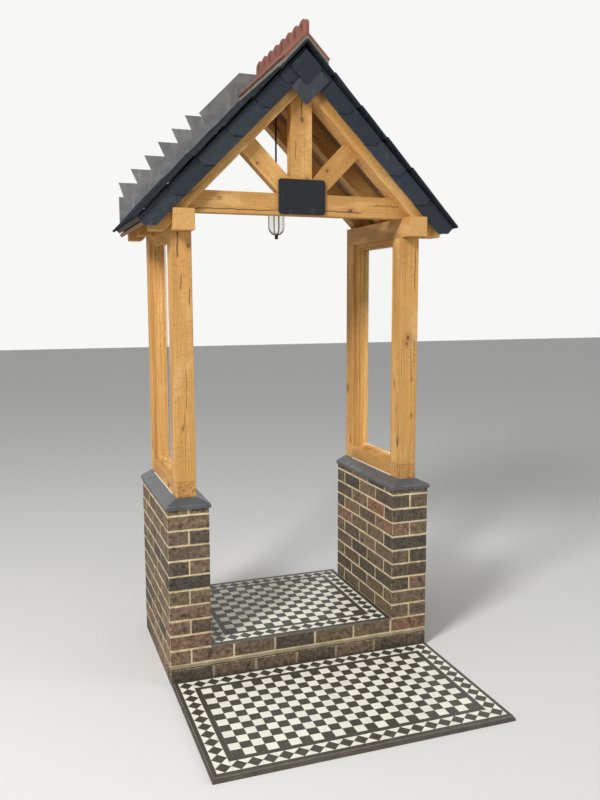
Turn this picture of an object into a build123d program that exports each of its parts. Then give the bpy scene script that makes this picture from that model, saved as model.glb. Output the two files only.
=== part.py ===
from build123d import *
import math
import os

# Gabled oak entrance porch on two brick dwarf walls, with a slated roof.
# Millimetres. +X is right, +Y runs from the front to the house wall, +Z is up.
# The origin is on the ground, at the middle of the whole porch's plan.

# Brickwork gauge: one brick and its joint, along a wall and up it
brick_pitch = 222.0
course_height = 77.0
mortar_joint = 10.0

# Dwarf walls, one brick thick, with a thin cut course under the coping
half_brick_count_across = 13
half_brick_count_deep = 7
wall_course_count = 11
first_bed_height = 33.0
cut_course_height = 24.0

# Chequer tiles, the same on the step and on the landing in front
tile_pitch = 51.6
border_strip = 25.0
diamond_band = 68.0
tile_bed_thickness = 11.0
step_row_count = 12
step_course_count = 2
landing_column_count = 23
landing_row_count = 12
landing_height = 26.0
landing_joint = 10.0
landing_bed_margin = 6.0

# Coping on the dwarf walls
coping_overhang = 8.0
coping_edge = 20.0
coping_rise = 30.0
coping_seat_margin = 2.0

# Oak frame
post_size = 100.0
post_front_setback = 40.0
post_height = 1296.0
plate_height = 100.0
plate_nose = 88.0
rail_height = 78.0

# Side windows
frame_depth = 70.0
frame_side = 42.0
frame_head = 22.0
frame_sill = 8.0
glazing_stop = 12.0
stop_depth = 26.0
glass_thickness = 10.0
glass_gap = 0.3
bead_depth = 20.0

# Roof: its layers lie square to the slope, down from the top of the slates
roof_pitch = 45.0
slate_layer = 18.0
batten_depth = 25.0
batten_width = 50.0
boarding_thickness = 18.0
rafter_depth = 90.0
slate_gauge = 201.0
eaves_overhang = 185.5
slate_lift = 6.0
verge_overhang = 20.0

# Truss at the front
rafter_setback = 41.0
rafter_thickness = 100.0
common_rafter_thickness = 75.0
rafter_tail_overhang = 100.5
rafter_seat_drop = 66.0
tie_beam_depth = 106.0
tie_beam_notch = 8.0
king_post_width = 112.0
strut_width = 95.0
strut_foot_height = 16.0
ridge_board_thickness = 32.0
ridge_board_depth = 120.0
boarding_overhang = 145.5

# Slate-hung bargeboards
barge_board_thickness = 18.0
barge_slate_thickness = 6.0
barge_slate_top = 18.5
barge_slate_bottom = 102.0
barge_top_tail = 208.0
barge_end_setback = 11.0
barge_slate_lap = 45.0
barge_clip = 40.0
barge_board_margin = 6.0
apex_slate_side = 114.0
apex_slate_drop = 125.0
apex_lead_side = 168.0
apex_lead_drop = 179.5
apex_lead_left_lap = 100.0
lead_thickness = 3.0

# Crested ridge tiles
ridge_tile_count = 2
ridge_leg_length = 141.0
ridge_tile_thickness = 14.0
ridge_bedding_thickness = 14.0
crest_height = 65.0
crest_thickness = 20.0
crest_scallop_count = 4
crest_slot_width = 12.0
crest_slot_height = 34.0
crest_slot_lift = 10.0
crest_sagitta = 20.0
ridge_setback = 5.0
ridge_bedding_spread = 16.0
ridge_tile_gap = 3.0

# Lead at the house wall
flashing_upstand = 77.0
flashing_step_count = 6
flashing_step_rake = 36.0
flashing_foot_setback = 43.0
flashing_toe = 26.0
flashing_head_half_width = 100.0
saddle_length = 380.0
saddle_upstand = 112.0
saddle_below_crest = 57.0
lead_clearance = 0.3

# Plaque on the tie beam
plaque_width = 245.0
plaque_height = 170.0
plaque_thickness = 12.0
plaque_corner = 14.0
plaque_drop = 100.0

# Pendant light, which hangs from the ridge board just behind the middle rafters
lantern_behind_rafters = 22.0
lantern_glass_radius = 42.0
lantern_glass_above_plates = 47.0
lantern_glass_height = 118.0
lantern_glass_wall = 4.0
lantern_cap_radius = 49.0
lantern_cap_rise = 34.0
lantern_strap_width = 6.0
lantern_strap_thickness = 3.0
lantern_finial_radius = 9.0
lantern_finial_drop = 22.0
lantern_rod_radius = 5.0
lantern_rose_radius = 15.0
lantern_rose_thickness = 8.0

# Sizes that follow from the ones above
wall_thickness = brick_pitch - mortar_joint
porch_width = half_brick_count_across * brick_pitch / 2 - mortar_joint
wall_depth = half_brick_count_deep * brick_pitch / 2
wall_height = first_bed_height + wall_course_count * course_height + cut_course_height
border_width = 2 * border_strip + diamond_band
step_depth = step_row_count * tile_pitch + 2 * border_width
step_brick_top = first_bed_height + step_course_count * course_height - mortar_joint
step_height = step_brick_top + tile_bed_thickness
landing_width = landing_column_count * tile_pitch + 2 * border_width
landing_depth = landing_row_count * tile_pitch + 2 * border_width
total_depth = landing_depth + landing_joint + max(step_depth, wall_depth)
half_porch = porch_width / 2

# Places along Y
landing_front_y = -total_depth / 2
front_y = landing_front_y + landing_depth + landing_joint
wall_y = front_y + wall_depth
step_back_y = front_y + step_depth
post_inset = (wall_thickness - post_size) / 2
post_front_y = front_y + post_front_setback
plate_front_y = post_front_y - plate_nose
truss_front_y = post_front_y
rafter_front_y = truss_front_y - rafter_setback
rafter_back_y = rafter_front_y + rafter_thickness
barge_board_y = rafter_front_y - barge_board_thickness
barge_face_y = barge_board_y - 2 * barge_slate_thickness
verge_y = barge_face_y - verge_overhang
ridge_front_y = verge_y + ridge_setback
slates_back_y = wall_y - lead_thickness - lead_clearance
ridge_back_y = slates_back_y - lead_thickness - lead_clearance
middle_rafter_y = (rafter_front_y + wall_y - common_rafter_thickness) / 2
lantern_y = middle_rafter_y + common_rafter_thickness + lantern_behind_rafters

# Places along X and Z
coping_top = wall_height + coping_edge + coping_rise
post_outer_x = half_porch - post_inset
post_inner_x = post_outer_x - post_size
wall_inner_x = half_porch - wall_thickness
plate_bottom = coping_top + post_height
plate_top = plate_bottom + plate_height
tie_bottom = plate_top - tie_beam_notch
tie_top = tie_bottom + tie_beam_depth

pitch = math.radians(roof_pitch)
slope_cos = math.cos(pitch)
slope_sin = math.sin(pitch)
slope_tan = math.tan(pitch)

# Depths below the top of the slates, square to the slope
batten_top = slate_layer
board_top = batten_top + batten_depth
rafter_top = board_top + boarding_thickness
rafter_bottom = rafter_top + rafter_depth
ridge_top_offset = ridge_tile_thickness + ridge_bedding_thickness

# The rafters' undersides meet the plates' outer faces below the plates' tops
rafter_seat_z = plate_top - rafter_seat_drop
roof_apex_height = rafter_seat_z + post_outer_x * slope_tan + rafter_bottom / slope_cos
eaves_half_width = post_outer_x + eaves_overhang
boarding_end_half_width = post_outer_x + boarding_overhang
rafter_tail_half_width = post_outer_x + rafter_tail_overhang
apex_slate_height = roof_apex_height - apex_slate_drop
apex_lead_height = roof_apex_height - apex_lead_drop
lantern_glass_top = plate_top + lantern_glass_above_plates
crest_top = roof_apex_height + ridge_top_offset / slope_cos + crest_height


def slope_z(x, depth):
    """Height of the plane that lies depth below the slates' top, at x."""
    return roof_apex_height - depth / slope_cos - abs(x) * slope_tan


def slope_x(z, depth):
    """Half width of the plane that lies depth below the slates' top, at z."""
    return (roof_apex_height - depth / slope_cos - z) / slope_tan


def slope_point(along, depth):
    """Point of the right slope: along is down from the apex, depth is square to it."""
    x = along * slope_cos - depth * slope_sin
    z = roof_apex_height - along * slope_sin - depth * slope_cos
    return (x, z)


def block(x0, x1, y0, y1, z0, z1):
    """Box between two corners."""
    size = Box(x1 - x0, y1 - y0, z1 - z0)
    return Pos((x0 + x1) / 2, (y0 + y1) / 2, (z0 + z1) / 2) * size


def prism_y(outline, y0, y1):
    """Outline of (x, z) points, extruded from y0 to y1."""
    face = make_face(Polyline([(x, y0, z) for x, z in outline], close=True))
    return extrude(face, amount=y1 - y0, dir=(0, 1, 0))


def to_left(shape):
    """The same piece on the left."""
    return mirror(shape, about=Plane.YZ)


def save(name, shape):
    """Write one piece as its own file."""
    shape.label = name
    export_step(shape, f"parts/{name}.step")


def save_pair(name, shape):
    """Write a piece of the right side and its twin of the left."""
    save("right_" + name, shape)
    save("left_" + name, to_left(shape))


def dwarf_wall():
    """One-brick wall under the right side."""
    return block(wall_inner_x, half_porch, front_y, wall_y, 0, wall_height)


def coping():
    """Coping with slopes to the two sides and the front, mitred at its corners."""
    x0 = wall_inner_x - coping_overhang
    x1 = half_porch + coping_overhang
    y0 = front_y - coping_overhang
    edge = block(x0, x1, y0, wall_y, wall_height, wall_height + coping_edge)
    z0 = wall_height + coping_edge
    seat_x0 = post_inner_x - coping_seat_margin
    seat_x1 = post_outer_x + coping_seat_margin
    seat_y0 = post_front_y - coping_seat_margin
    lower = Polyline([(x0, y0, z0), (x1, y0, z0), (x1, wall_y, z0), (x0, wall_y, z0)], close=True)
    upper = Polyline(
        [
            (seat_x0, seat_y0, coping_top),
            (seat_x1, seat_y0, coping_top),
            (seat_x1, wall_y, coping_top),
            (seat_x0, wall_y, coping_top),
        ],
        close=True,
    )
    weathering = loft([make_face(lower), make_face(upper)], ruled=True)
    return edge + weathering


def window_ring(x0, x1, side, head, sill):
    """Ring between the posts, the rail and the plate, from x0 to x1."""
    y0 = post_front_y + post_size
    y1 = wall_y - post_size
    z0 = coping_top + rail_height
    outer = block(x0, x1, y0, y1, z0, plate_bottom)
    hole = block(x0 - 1, x1 + 1, y0 + side, y1 - side, z0 + sill, plate_bottom - head)
    return outer - hole


def window_frame():
    """Frame with its outer glazing stop in one piece."""
    x0 = (post_inner_x + post_outer_x - frame_depth) / 2
    x1 = x0 + frame_depth
    plain = window_ring(x0, x1 - stop_depth, frame_side, frame_head, frame_sill)
    stop = window_ring(
        x1 - stop_depth,
        x1,
        frame_side + glazing_stop,
        frame_head + glazing_stop,
        frame_sill + glazing_stop,
    )
    return plain + stop


def glass_x():
    """Inner face of the pane, which lies against the outer stop."""
    x0 = (post_inner_x + post_outer_x - frame_depth) / 2
    return x0 + frame_depth - stop_depth - glass_thickness - glass_gap


def window_glass():
    """Clear pane in its rebate."""
    return block(
        glass_x(),
        glass_x() + glass_thickness,
        post_front_y + post_size + frame_side + glass_gap,
        wall_y - post_size - frame_side - glass_gap,
        coping_top + rail_height + frame_sill + glass_gap,
        plate_bottom - frame_head - glass_gap,
    )


def glazing_beads():
    """Inner beads that hold the pane, sloped on their visible edge."""
    x1 = glass_x() - glass_gap
    x0 = x1 - bead_depth
    y0 = post_front_y + post_size + frame_side + glass_gap
    y1 = wall_y - post_size - frame_side - glass_gap
    z0 = coping_top + rail_height + frame_sill + glass_gap
    z1 = plate_bottom - frame_head - glass_gap
    ring = block(x0, x1, y0, y1, z0, z1)
    face = glazing_stop - glass_gap
    nose = face / 2

    def mouth(x, inset):
        corners = [
            (x, y0 + inset, z0 + inset),
            (x, y1 - inset, z0 + inset),
            (x, y1 - inset, z1 - inset),
            (x, y0 + inset, z1 - inset),
        ]
        return make_face(Polyline(corners, close=True))

    return ring - loft([mouth(x0, nose), mouth(x1, face)], ruled=True)


def rafter(y0, y1, ridge_x):
    """Rafter of the right side, notched over the plate, from ridge_x outwards."""
    tail = rafter_tail_half_width
    outline = [
        (ridge_x, slope_z(ridge_x, rafter_top)),
        (tail, slope_z(tail, rafter_top)),
        (tail, plate_bottom),
        (slope_x(plate_bottom, rafter_bottom), plate_bottom),
        (ridge_x, slope_z(ridge_x, rafter_bottom)),
    ]
    seat = block(post_inner_x - post_size, post_outer_x, y0 - 1, y1 + 1, 0, plate_top)
    return prism_y(outline, y0, y1) - seat


def tie_beam():
    """Tie beam between the rafters' undersides, notched down over both plates."""
    top_x = slope_x(tie_top, rafter_bottom)
    seat_x = slope_x(plate_top, rafter_bottom)
    outline = [
        (top_x, tie_top),
        (seat_x, plate_top),
        (post_inner_x, plate_top),
        (post_inner_x, tie_bottom),
        (-post_inner_x, tie_bottom),
        (-post_inner_x, plate_top),
        (-seat_x, plate_top),
        (-top_x, tie_top),
    ]
    return prism_y(outline, truss_front_y, rafter_back_y)


def king_post():
    """King post from the tie beam up between the rafters' heads."""
    half = king_post_width / 2
    outline = [
        (-half, tie_top),
        (half, tie_top),
        (half, slope_z(half, rafter_bottom)),
        (0, slope_z(0, rafter_bottom)),
        (-half, slope_z(half, rafter_bottom)),
    ]
    return prism_y(outline, truss_front_y, rafter_back_y)


def strut():
    """Strut from the king post's foot out to the rafter, square to it."""
    foot_x = king_post_width / 2
    upper_foot = tie_top + strut_foot_height + foot_x
    gap = strut_width / slope_cos

    def crossing(height):
        # The strut's edge rises from (0, height) and meets the rafter's underside
        x = (roof_apex_height - rafter_bottom / slope_cos - height) / (slope_tan + 1 / slope_tan)
        return (x, height + x / slope_tan)

    top = upper_foot - foot_x / slope_tan
    lower = top - gap
    outline = [
        (foot_x, top + foot_x / slope_tan),
        crossing(top),
        crossing(lower),
        ((tie_top - lower) * slope_tan, tie_top),
        (foot_x, tie_top),
    ]
    return prism_y(outline, truss_front_y, rafter_back_y)


def ridge_board():
    """Ridge board behind the truss, between the common rafters."""
    half = ridge_board_thickness / 2
    top = slope_z(half, rafter_top)
    return block(-half, half, rafter_back_y, wall_y, top - ridge_board_depth, top)


def boarding():
    """Boards on the rafters, which show from below."""
    end = boarding_end_half_width
    outline = [
        (0, slope_z(0, board_top)),
        (end, slope_z(end, board_top)),
        (end, slope_z(end, rafter_top)),
        (0, slope_z(0, rafter_top)),
    ]
    return prism_y(outline, rafter_front_y, wall_y)


def batten_lines():
    """Distances down the slope of the battens' upper edges, from the eaves up."""
    boards_end = (boarding_end_half_width + board_top * slope_sin) / slope_cos
    lines = []
    along = boards_end - batten_width
    while along > batten_width:
        lines.append(along)
        along -= slate_gauge
    return lines


def battens():
    """Slate battens of the right slope, as separate lengths of timber."""
    pieces = []
    for along in batten_lines():
        corners = [
            slope_point(along, batten_top),
            slope_point(along + batten_width, batten_top),
            slope_point(along + batten_width, board_top),
            slope_point(along, board_top),
        ]
        pieces.append(prism_y(corners, rafter_front_y, slates_back_y))
    return pieces


def slates():
    """Slating of the right slope, with a step at the tail of each course."""
    length = eaves_half_width / slope_cos
    tails = []
    tail = length
    while tail > slate_gauge / 2:
        tails.append(tail)
        tail -= slate_gauge
    outline = [(0, slope_z(0, slate_lift))]
    for tail in reversed(tails):
        outline.append(slope_point(tail, 0))
        outline.append(slope_point(tail, slate_lift))
    outline.append(slope_point(length, slate_lift + slate_lift))
    outline.append(slope_point(length - slate_layer, slate_layer))
    outline.append((0, slope_z(0, slate_layer)))
    return prism_y(outline, verge_y, slates_back_y)


def barge_tails():
    """Distances down the slope of the hung slates' tails, from the ridge down."""
    tails = []
    tail = eaves_half_width / slope_cos - barge_end_setback
    while tail > barge_top_tail + barge_slate_lap:
        tails.append(tail)
        tail -= slate_gauge
    tails.append(barge_top_tail)
    return tails[::-1]


def barge_end(margin):
    """Lower end of the slate-hung verge, shrunk by a margin, as two points."""
    last = barge_tails()[-1] - margin
    bottom = barge_slate_bottom - margin
    corner = barge_slate_bottom - barge_clip - margin
    return [slope_point(last, corner), slope_point(last - bottom + corner, bottom)]


def barge_board():
    """Board in front of the rafter that carries the hung slates."""
    last = barge_tails()[-1] - barge_board_margin
    bottom = barge_slate_bottom - barge_board_margin
    outline = [(0, slope_z(0, slate_layer)), slope_point(last, slate_layer)]
    outline += barge_end(barge_board_margin)
    outline.append((0, slope_z(0, bottom)))
    return prism_y(outline, barge_board_y, rafter_front_y)


def barge_slates():
    """Hung slates of the right verge, each lapped over the next one down."""
    tilt = math.degrees(math.atan(barge_slate_thickness / slate_gauge))
    across = Vector(-slope_sin, 0, -slope_cos)
    result = None
    for tail in barge_tails():
        head = tail - slate_gauge - barge_slate_lap
        outline = [
            slope_point(head, barge_slate_top),
            slope_point(tail, barge_slate_top),
            slope_point(tail, barge_slate_bottom - barge_clip),
            slope_point(tail - barge_clip, barge_slate_bottom),
            slope_point(head, barge_slate_bottom),
        ]
        plate = prism_y(outline, barge_board_y - barge_slate_thickness, barge_board_y)
        x, z = slope_point(head, barge_slate_top)
        plate = plate.rotate(Axis((x, barge_board_y, z), across), tilt)
        result = plate if result is None else result + plate
    far = eaves_half_width * 2
    mitre = block(0, far, verge_y - far, rafter_front_y, 0, roof_apex_height)
    return result & mitre


def diamond(side, height, y0, thickness):
    """Square plate that stands on its corner, with its middle at a height."""
    reach = side / math.sqrt(2)
    outline = [(0, height - reach), (reach, height), (0, height + reach), (-reach, height)]
    return prism_y(outline, y0 - thickness, y0)


def apex_lead(y0):
    """Lead diamond whose left arm stops where the first hung slate laps over it."""
    plate = diamond(apex_lead_side, apex_lead_height, y0, lead_thickness)
    far = apex_lead_side
    lap = [
        (0, slope_z(0, apex_lead_left_lap)),
        (-far, slope_z(far, apex_lead_left_lap)),
        (-far, roof_apex_height),
        (0, roof_apex_height),
    ]
    return plate - prism_y(lap, y0 - far, y0 + far)


def ridge_tile(y0, y1):
    """Angle ridge tile with a scalloped crest and an upright slot in each scallop."""
    outer = -ridge_top_offset
    inner = outer + ridge_tile_thickness
    outline = [(0, slope_z(0, outer))]
    outline.append(slope_point(ridge_leg_length, outer))
    outline.append(slope_point(ridge_leg_length, inner))
    outline.append((0, slope_z(0, inner)))
    leg = prism_y(outline, y0, y1)
    angle = leg + to_left(leg)
    base = slope_z(0, outer) - ridge_tile_thickness
    top = crest_top
    scallop = (y1 - y0) / crest_scallop_count
    valley = top - crest_sagitta
    edge = Polyline([(0, y1, valley), (0, y1, base), (0, y0, base), (0, y0, valley)])
    arcs = []
    for n in range(crest_scallop_count):
        a = y0 + n * scallop
        arcs.append(ThreePointArc((0, a, valley), (0, a + scallop / 2, top), (0, a + scallop, valley)))
    face = make_face(edge.edges() + arcs)
    crest = extrude(face, amount=crest_thickness / 2, dir=(1, 0, 0), both=True)
    slot_z = slope_z(0, outer) + crest_slot_lift + crest_slot_height / 2
    for n in range(crest_scallop_count):
        middle = Pos(0, y0 + (n + 0.5) * scallop, slot_z)
        shape = RectangleRounded(crest_slot_width, crest_slot_height, crest_slot_width * 0.45)
        crest -= middle * extrude(Plane.YZ * shape, amount=crest_thickness, both=True)
    return angle + crest


def ridge_bedding():
    """Mortar under the legs of the ridge tiles."""
    inner = -ridge_bedding_thickness
    leg = ridge_leg_length
    outline = [(0, slope_z(0, inner)), slope_point(leg, inner)]
    outline.append(slope_point(leg + ridge_bedding_spread, 0))
    outline.append((0, slope_z(0, 0)))
    bed = prism_y(outline, ridge_front_y, ridge_back_y)
    return bed + to_left(bed)


def wall_flashing():
    """Lead upstand on the right, stepped into the wall's joints with raked ends."""
    foot = eaves_half_width - flashing_foot_setback
    head = flashing_head_half_width
    x = foot - flashing_toe
    z = slope_z(x, -flashing_upstand)
    outline = [(head, slope_z(head, slate_layer)), (foot, slope_z(foot, slate_layer)), (foot, z)]
    for n in range(flashing_step_count):
        outline.append((x, z))
        z += course_height
        outline.append((min(x + flashing_step_rake, foot), z))
        x -= course_height / slope_tan
    outline.append((x, z))
    outline.append((head, slope_z(head, -flashing_upstand)))
    return prism_y(outline, wall_y - lead_thickness, wall_y)


def ridge_saddle():
    """Lead saddle on the wall behind the ridge, over the heads of both flashings."""
    top = crest_top - saddle_below_crest
    shoulder = slope_x(top, -saddle_upstand)
    half = [
        slope_point(saddle_length, -lead_clearance),
        slope_point(saddle_length, -saddle_upstand),
        (shoulder, top),
    ]
    outline = half + [(-x, z) for x, z in reversed(half)]
    outline.append((0, slope_z(0, -lead_clearance)))
    return prism_y(outline, ridge_back_y + lead_clearance, slates_back_y)


def name_plaque():
    """Bare slate plate across the tie beam and the king post's foot."""
    middle_z = tie_top + plaque_height - plaque_drop - plaque_height / 2
    shape = RectangleRounded(plaque_width, plaque_height, plaque_corner)
    plate = extrude(Plane.XZ * shape, amount=plaque_thickness)
    return Pos(0, truss_front_y, middle_z) * plate


def lantern_bowl(margin):
    """Round-bottomed jar, grown by a margin, standing on z = 0 under its rim."""
    radius = lantern_glass_radius + margin
    bottom = -lantern_glass_height - margin
    neck = Line((0, 0), (radius, 0))
    side = Line((radius, 0), (radius, bottom + radius))
    bowl = RadiusArc((radius, bottom + radius), (0, bottom), radius)
    axis = Line((0, bottom), (0, 0))
    half = Plane.XZ * make_face(neck + side + bowl + axis)
    return revolve(half, axis=Axis.Z)


def lantern_glass():
    """Clear jar of the light, open at its rim."""
    jar = lantern_bowl(0) - lantern_bowl(-lantern_glass_wall)
    opening = Cylinder(lantern_glass_radius - lantern_glass_wall, 2 * lantern_glass_wall)
    return Pos(0, lantern_y, lantern_glass_top - glass_gap) * (jar - opening)


def lantern_cage():
    """Cap, four straps round the jar and the finial below, in one piece."""
    clearance = 2 * glass_gap
    shell = lantern_bowl(clearance + lantern_strap_thickness) - lantern_bowl(clearance)
    reach = 4 * lantern_glass_radius
    width = lantern_strap_width
    straps = shell & (Box(reach, width, 2 * reach) + Box(width, reach, 2 * reach))
    low = lantern_glass_height + clearance
    finial = Pos(0, 0, -low - lantern_finial_drop / 2)
    finial *= Cylinder(lantern_finial_radius, lantern_finial_drop)
    base = lantern_cap_rise / 2
    cap = Pos(0, 0, base / 2) * Cylinder(lantern_cap_radius, base)
    neck = Pos(0, 0, base * 1.5)
    neck *= Cone(lantern_cap_radius, 2 * lantern_rod_radius, base)
    return Pos(0, lantern_y, lantern_glass_top) * (straps + finial + cap + neck)


def lantern_rod():
    """Rod with a round plate, from the ridge board down to the light's cap."""
    ridge_bottom = slope_z(ridge_board_thickness / 2, rafter_top) - ridge_board_depth
    cap_top = lantern_glass_top + lantern_cap_rise
    rod_height = ridge_bottom - cap_top
    rod = Pos(0, 0, cap_top + rod_height / 2) * Cylinder(lantern_rod_radius, rod_height)
    rose = Pos(0, 0, ridge_bottom - lantern_rose_thickness / 2)
    rose *= Cylinder(lantern_rose_radius, lantern_rose_thickness)
    return Pos(0, lantern_y, 0) * (rod + rose)


def build_walls():
    """Brickwork, step, landing and copings."""
    inner = wall_inner_x
    landing_bed_top = landing_height - tile_bed_thickness
    landing_back = front_y - landing_joint
    half_landing = landing_width / 2
    margin = landing_bed_margin
    save_pair("dwarf_wall", dwarf_wall())
    save_pair("coping", coping())
    save("step_base", block(-inner, inner, front_y, step_back_y, 0, step_brick_top))
    save("step_tiles", block(-inner, inner, front_y, step_back_y, step_brick_top, step_height))
    bed = block(-half_landing, half_landing, landing_front_y, front_y, 0, landing_bed_top)
    save("landing_bed", bed)
    tiles = block(
        -half_landing + margin,
        half_landing - margin,
        landing_front_y + margin,
        landing_back,
        landing_bed_top,
        landing_height,
    )
    save("landing_tiles", tiles)


def build_frame():
    """Posts, rails, plates and windows."""
    front = block(
        post_inner_x,
        post_outer_x,
        post_front_y,
        post_front_y + post_size,
        coping_top,
        plate_bottom,
    )
    save_pair("front_post", front)
    save_pair("wall_post", Pos(0, wall_y - post_size - post_front_y, 0) * front)
    y0 = post_front_y + post_size
    y1 = wall_y - post_size
    rail = block(post_inner_x, post_outer_x, y0, y1, coping_top, coping_top + rail_height)
    save_pair("bottom_rail", rail)
    plate = block(post_inner_x, post_outer_x, plate_front_y, wall_y, plate_bottom, plate_top)
    save_pair("wall_plate", plate)
    save_pair("window_frame", window_frame())
    save_pair("window_glass", window_glass())
    save_pair("glazing_beads", glazing_beads())


def build_truss():
    """Tie beam, king post, struts, rafters and ridge board."""
    save("tie_beam", tie_beam())
    save("king_post", king_post())
    save_pair("strut", strut())
    save_pair("front_rafter", rafter(rafter_front_y, rafter_back_y, 0))
    thickness = common_rafter_thickness
    ridge_side = ridge_board_thickness / 2
    middle = rafter(middle_rafter_y, middle_rafter_y + thickness, ridge_side)
    last = rafter(wall_y - thickness, wall_y, ridge_side)
    save("middle_rafters", Compound(children=[middle, to_left(middle)]))
    save("wall_rafters", Compound(children=[last, to_left(last)]))
    save("ridge_board", ridge_board())


def build_roof():
    """Boarding, battens, slates, verges, ridge and lead."""
    save_pair("roof_boarding", boarding())
    right = battens()
    save("roof_battens", Compound(children=right + [to_left(piece) for piece in right]))
    save_pair("roof_slates", slates())
    save_pair("barge_board", barge_board())
    save_pair("barge_slates", barge_slates())
    tail_lift = barge_slate_thickness * (slate_gauge + barge_slate_lap) / slate_gauge
    lead_y = barge_board_y - barge_slate_thickness - tail_lift - lead_clearance
    save("apex_lead", apex_lead(lead_y))
    slate_y = lead_y - lead_thickness
    save("apex_slate", diamond(apex_slate_side, apex_slate_height, slate_y, barge_slate_thickness))
    length = (ridge_back_y - ridge_front_y - ridge_tile_gap) / ridge_tile_count
    names = ["front_ridge_tile", "rear_ridge_tile"]
    for n in range(ridge_tile_count):
        y0 = ridge_front_y + n * (length + ridge_tile_gap)
        save(names[n], ridge_tile(y0, y0 + length))
    save("ridge_bedding", ridge_bedding())
    save_pair("wall_flashing", wall_flashing())
    save("ridge_saddle", ridge_saddle())


def build_fittings():
    """Plaque and pendant light."""
    save("name_plaque", name_plaque())
    save("lantern_rod", lantern_rod())
    save("lantern_cage", lantern_cage())
    save("lantern_glass", lantern_glass())


os.makedirs("parts", exist_ok=True)
build_walls()
build_frame()
build_truss()
build_roof()
build_fittings()
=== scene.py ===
"""Looks of an oak entrance porch with brick dwarf walls, a slated roof and a chequer floor."""

import logging
import math
import random
from dataclasses import dataclass
from enum import Enum, StrEnum
from functools import partialmethod
from typing import Sequence, Union

import bmesh
import bpy
from bmesh.types import BMEdge, BMFace, BMVert
from bpy.types import ColorRamp, ID, Material, NodeSocket, Object, World
from mathutils import Euler, Matrix, Vector, noise
from mathutils.bvhtree import BVHTree


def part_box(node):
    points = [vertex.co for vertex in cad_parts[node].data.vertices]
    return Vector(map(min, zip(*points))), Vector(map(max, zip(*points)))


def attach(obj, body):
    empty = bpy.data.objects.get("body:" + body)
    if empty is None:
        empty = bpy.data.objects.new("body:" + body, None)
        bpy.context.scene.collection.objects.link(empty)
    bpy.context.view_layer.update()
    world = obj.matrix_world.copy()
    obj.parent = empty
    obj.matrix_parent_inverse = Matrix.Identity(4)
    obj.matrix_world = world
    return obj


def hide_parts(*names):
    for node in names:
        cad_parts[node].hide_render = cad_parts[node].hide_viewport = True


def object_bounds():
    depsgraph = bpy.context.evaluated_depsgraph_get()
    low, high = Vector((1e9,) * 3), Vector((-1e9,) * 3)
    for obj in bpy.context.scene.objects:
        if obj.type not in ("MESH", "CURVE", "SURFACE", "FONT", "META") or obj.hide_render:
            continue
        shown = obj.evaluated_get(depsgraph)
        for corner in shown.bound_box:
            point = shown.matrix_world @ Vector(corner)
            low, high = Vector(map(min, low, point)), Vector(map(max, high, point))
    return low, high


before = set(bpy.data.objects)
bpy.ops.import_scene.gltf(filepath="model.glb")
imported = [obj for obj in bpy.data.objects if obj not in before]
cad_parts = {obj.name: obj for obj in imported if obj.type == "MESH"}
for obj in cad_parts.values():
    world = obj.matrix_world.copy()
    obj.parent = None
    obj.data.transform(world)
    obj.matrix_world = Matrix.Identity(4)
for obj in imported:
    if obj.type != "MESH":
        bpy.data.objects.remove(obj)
CAD_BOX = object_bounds()
LOG = logging.getLogger("porch")

Colour = tuple[float, float, float]
Feed = Union["Wire", float, Colour]

MM = 0.001
TOUCH = 0.001 * MM
FLAT = math.radians(1.0)
SLOPE = math.radians(45.0)
NOISE_SEED = 7
NOISE_STEP = Vector((1.0, 1.7, 2.3))
QUAD = 4
DIGITS = 3


class Side(StrEnum):
    """Side of the porch, seen from the front."""

    RIGHT = "right"
    LEFT = "left"

    @property
    def sign(self) -> int:
        """1 on the right and -1 on the left."""
        return 1 if self is Side.RIGHT else -1


# Shader maths


class Wire:
    """Output of a node, which takes part in arithmetic."""

    def __init__(self, sheet: "Sheet", socket: NodeSocket) -> None:
        """Keeps the node sheet and the socket."""
        self.sheet = sheet
        self.socket = socket

    def _math(self, other: Feed = 0.0, operation: str = "ADD") -> "Wire":
        """Adds one Math node."""
        return self.sheet.add("ShaderNodeMath", {"operation": operation}, {0: self, 1: other})

    __add__ = __radd__ = _math
    __sub__ = partialmethod(_math, operation="SUBTRACT")
    __mul__ = __rmul__ = partialmethod(_math, operation="MULTIPLY")
    __abs__ = partialmethod(_math, operation="ABSOLUTE")
    most = partialmethod(_math, operation="MAXIMUM")

    def __rsub__(self, other: Feed) -> "Wire":
        """other - self."""
        return self * -1.0 + other


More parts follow.
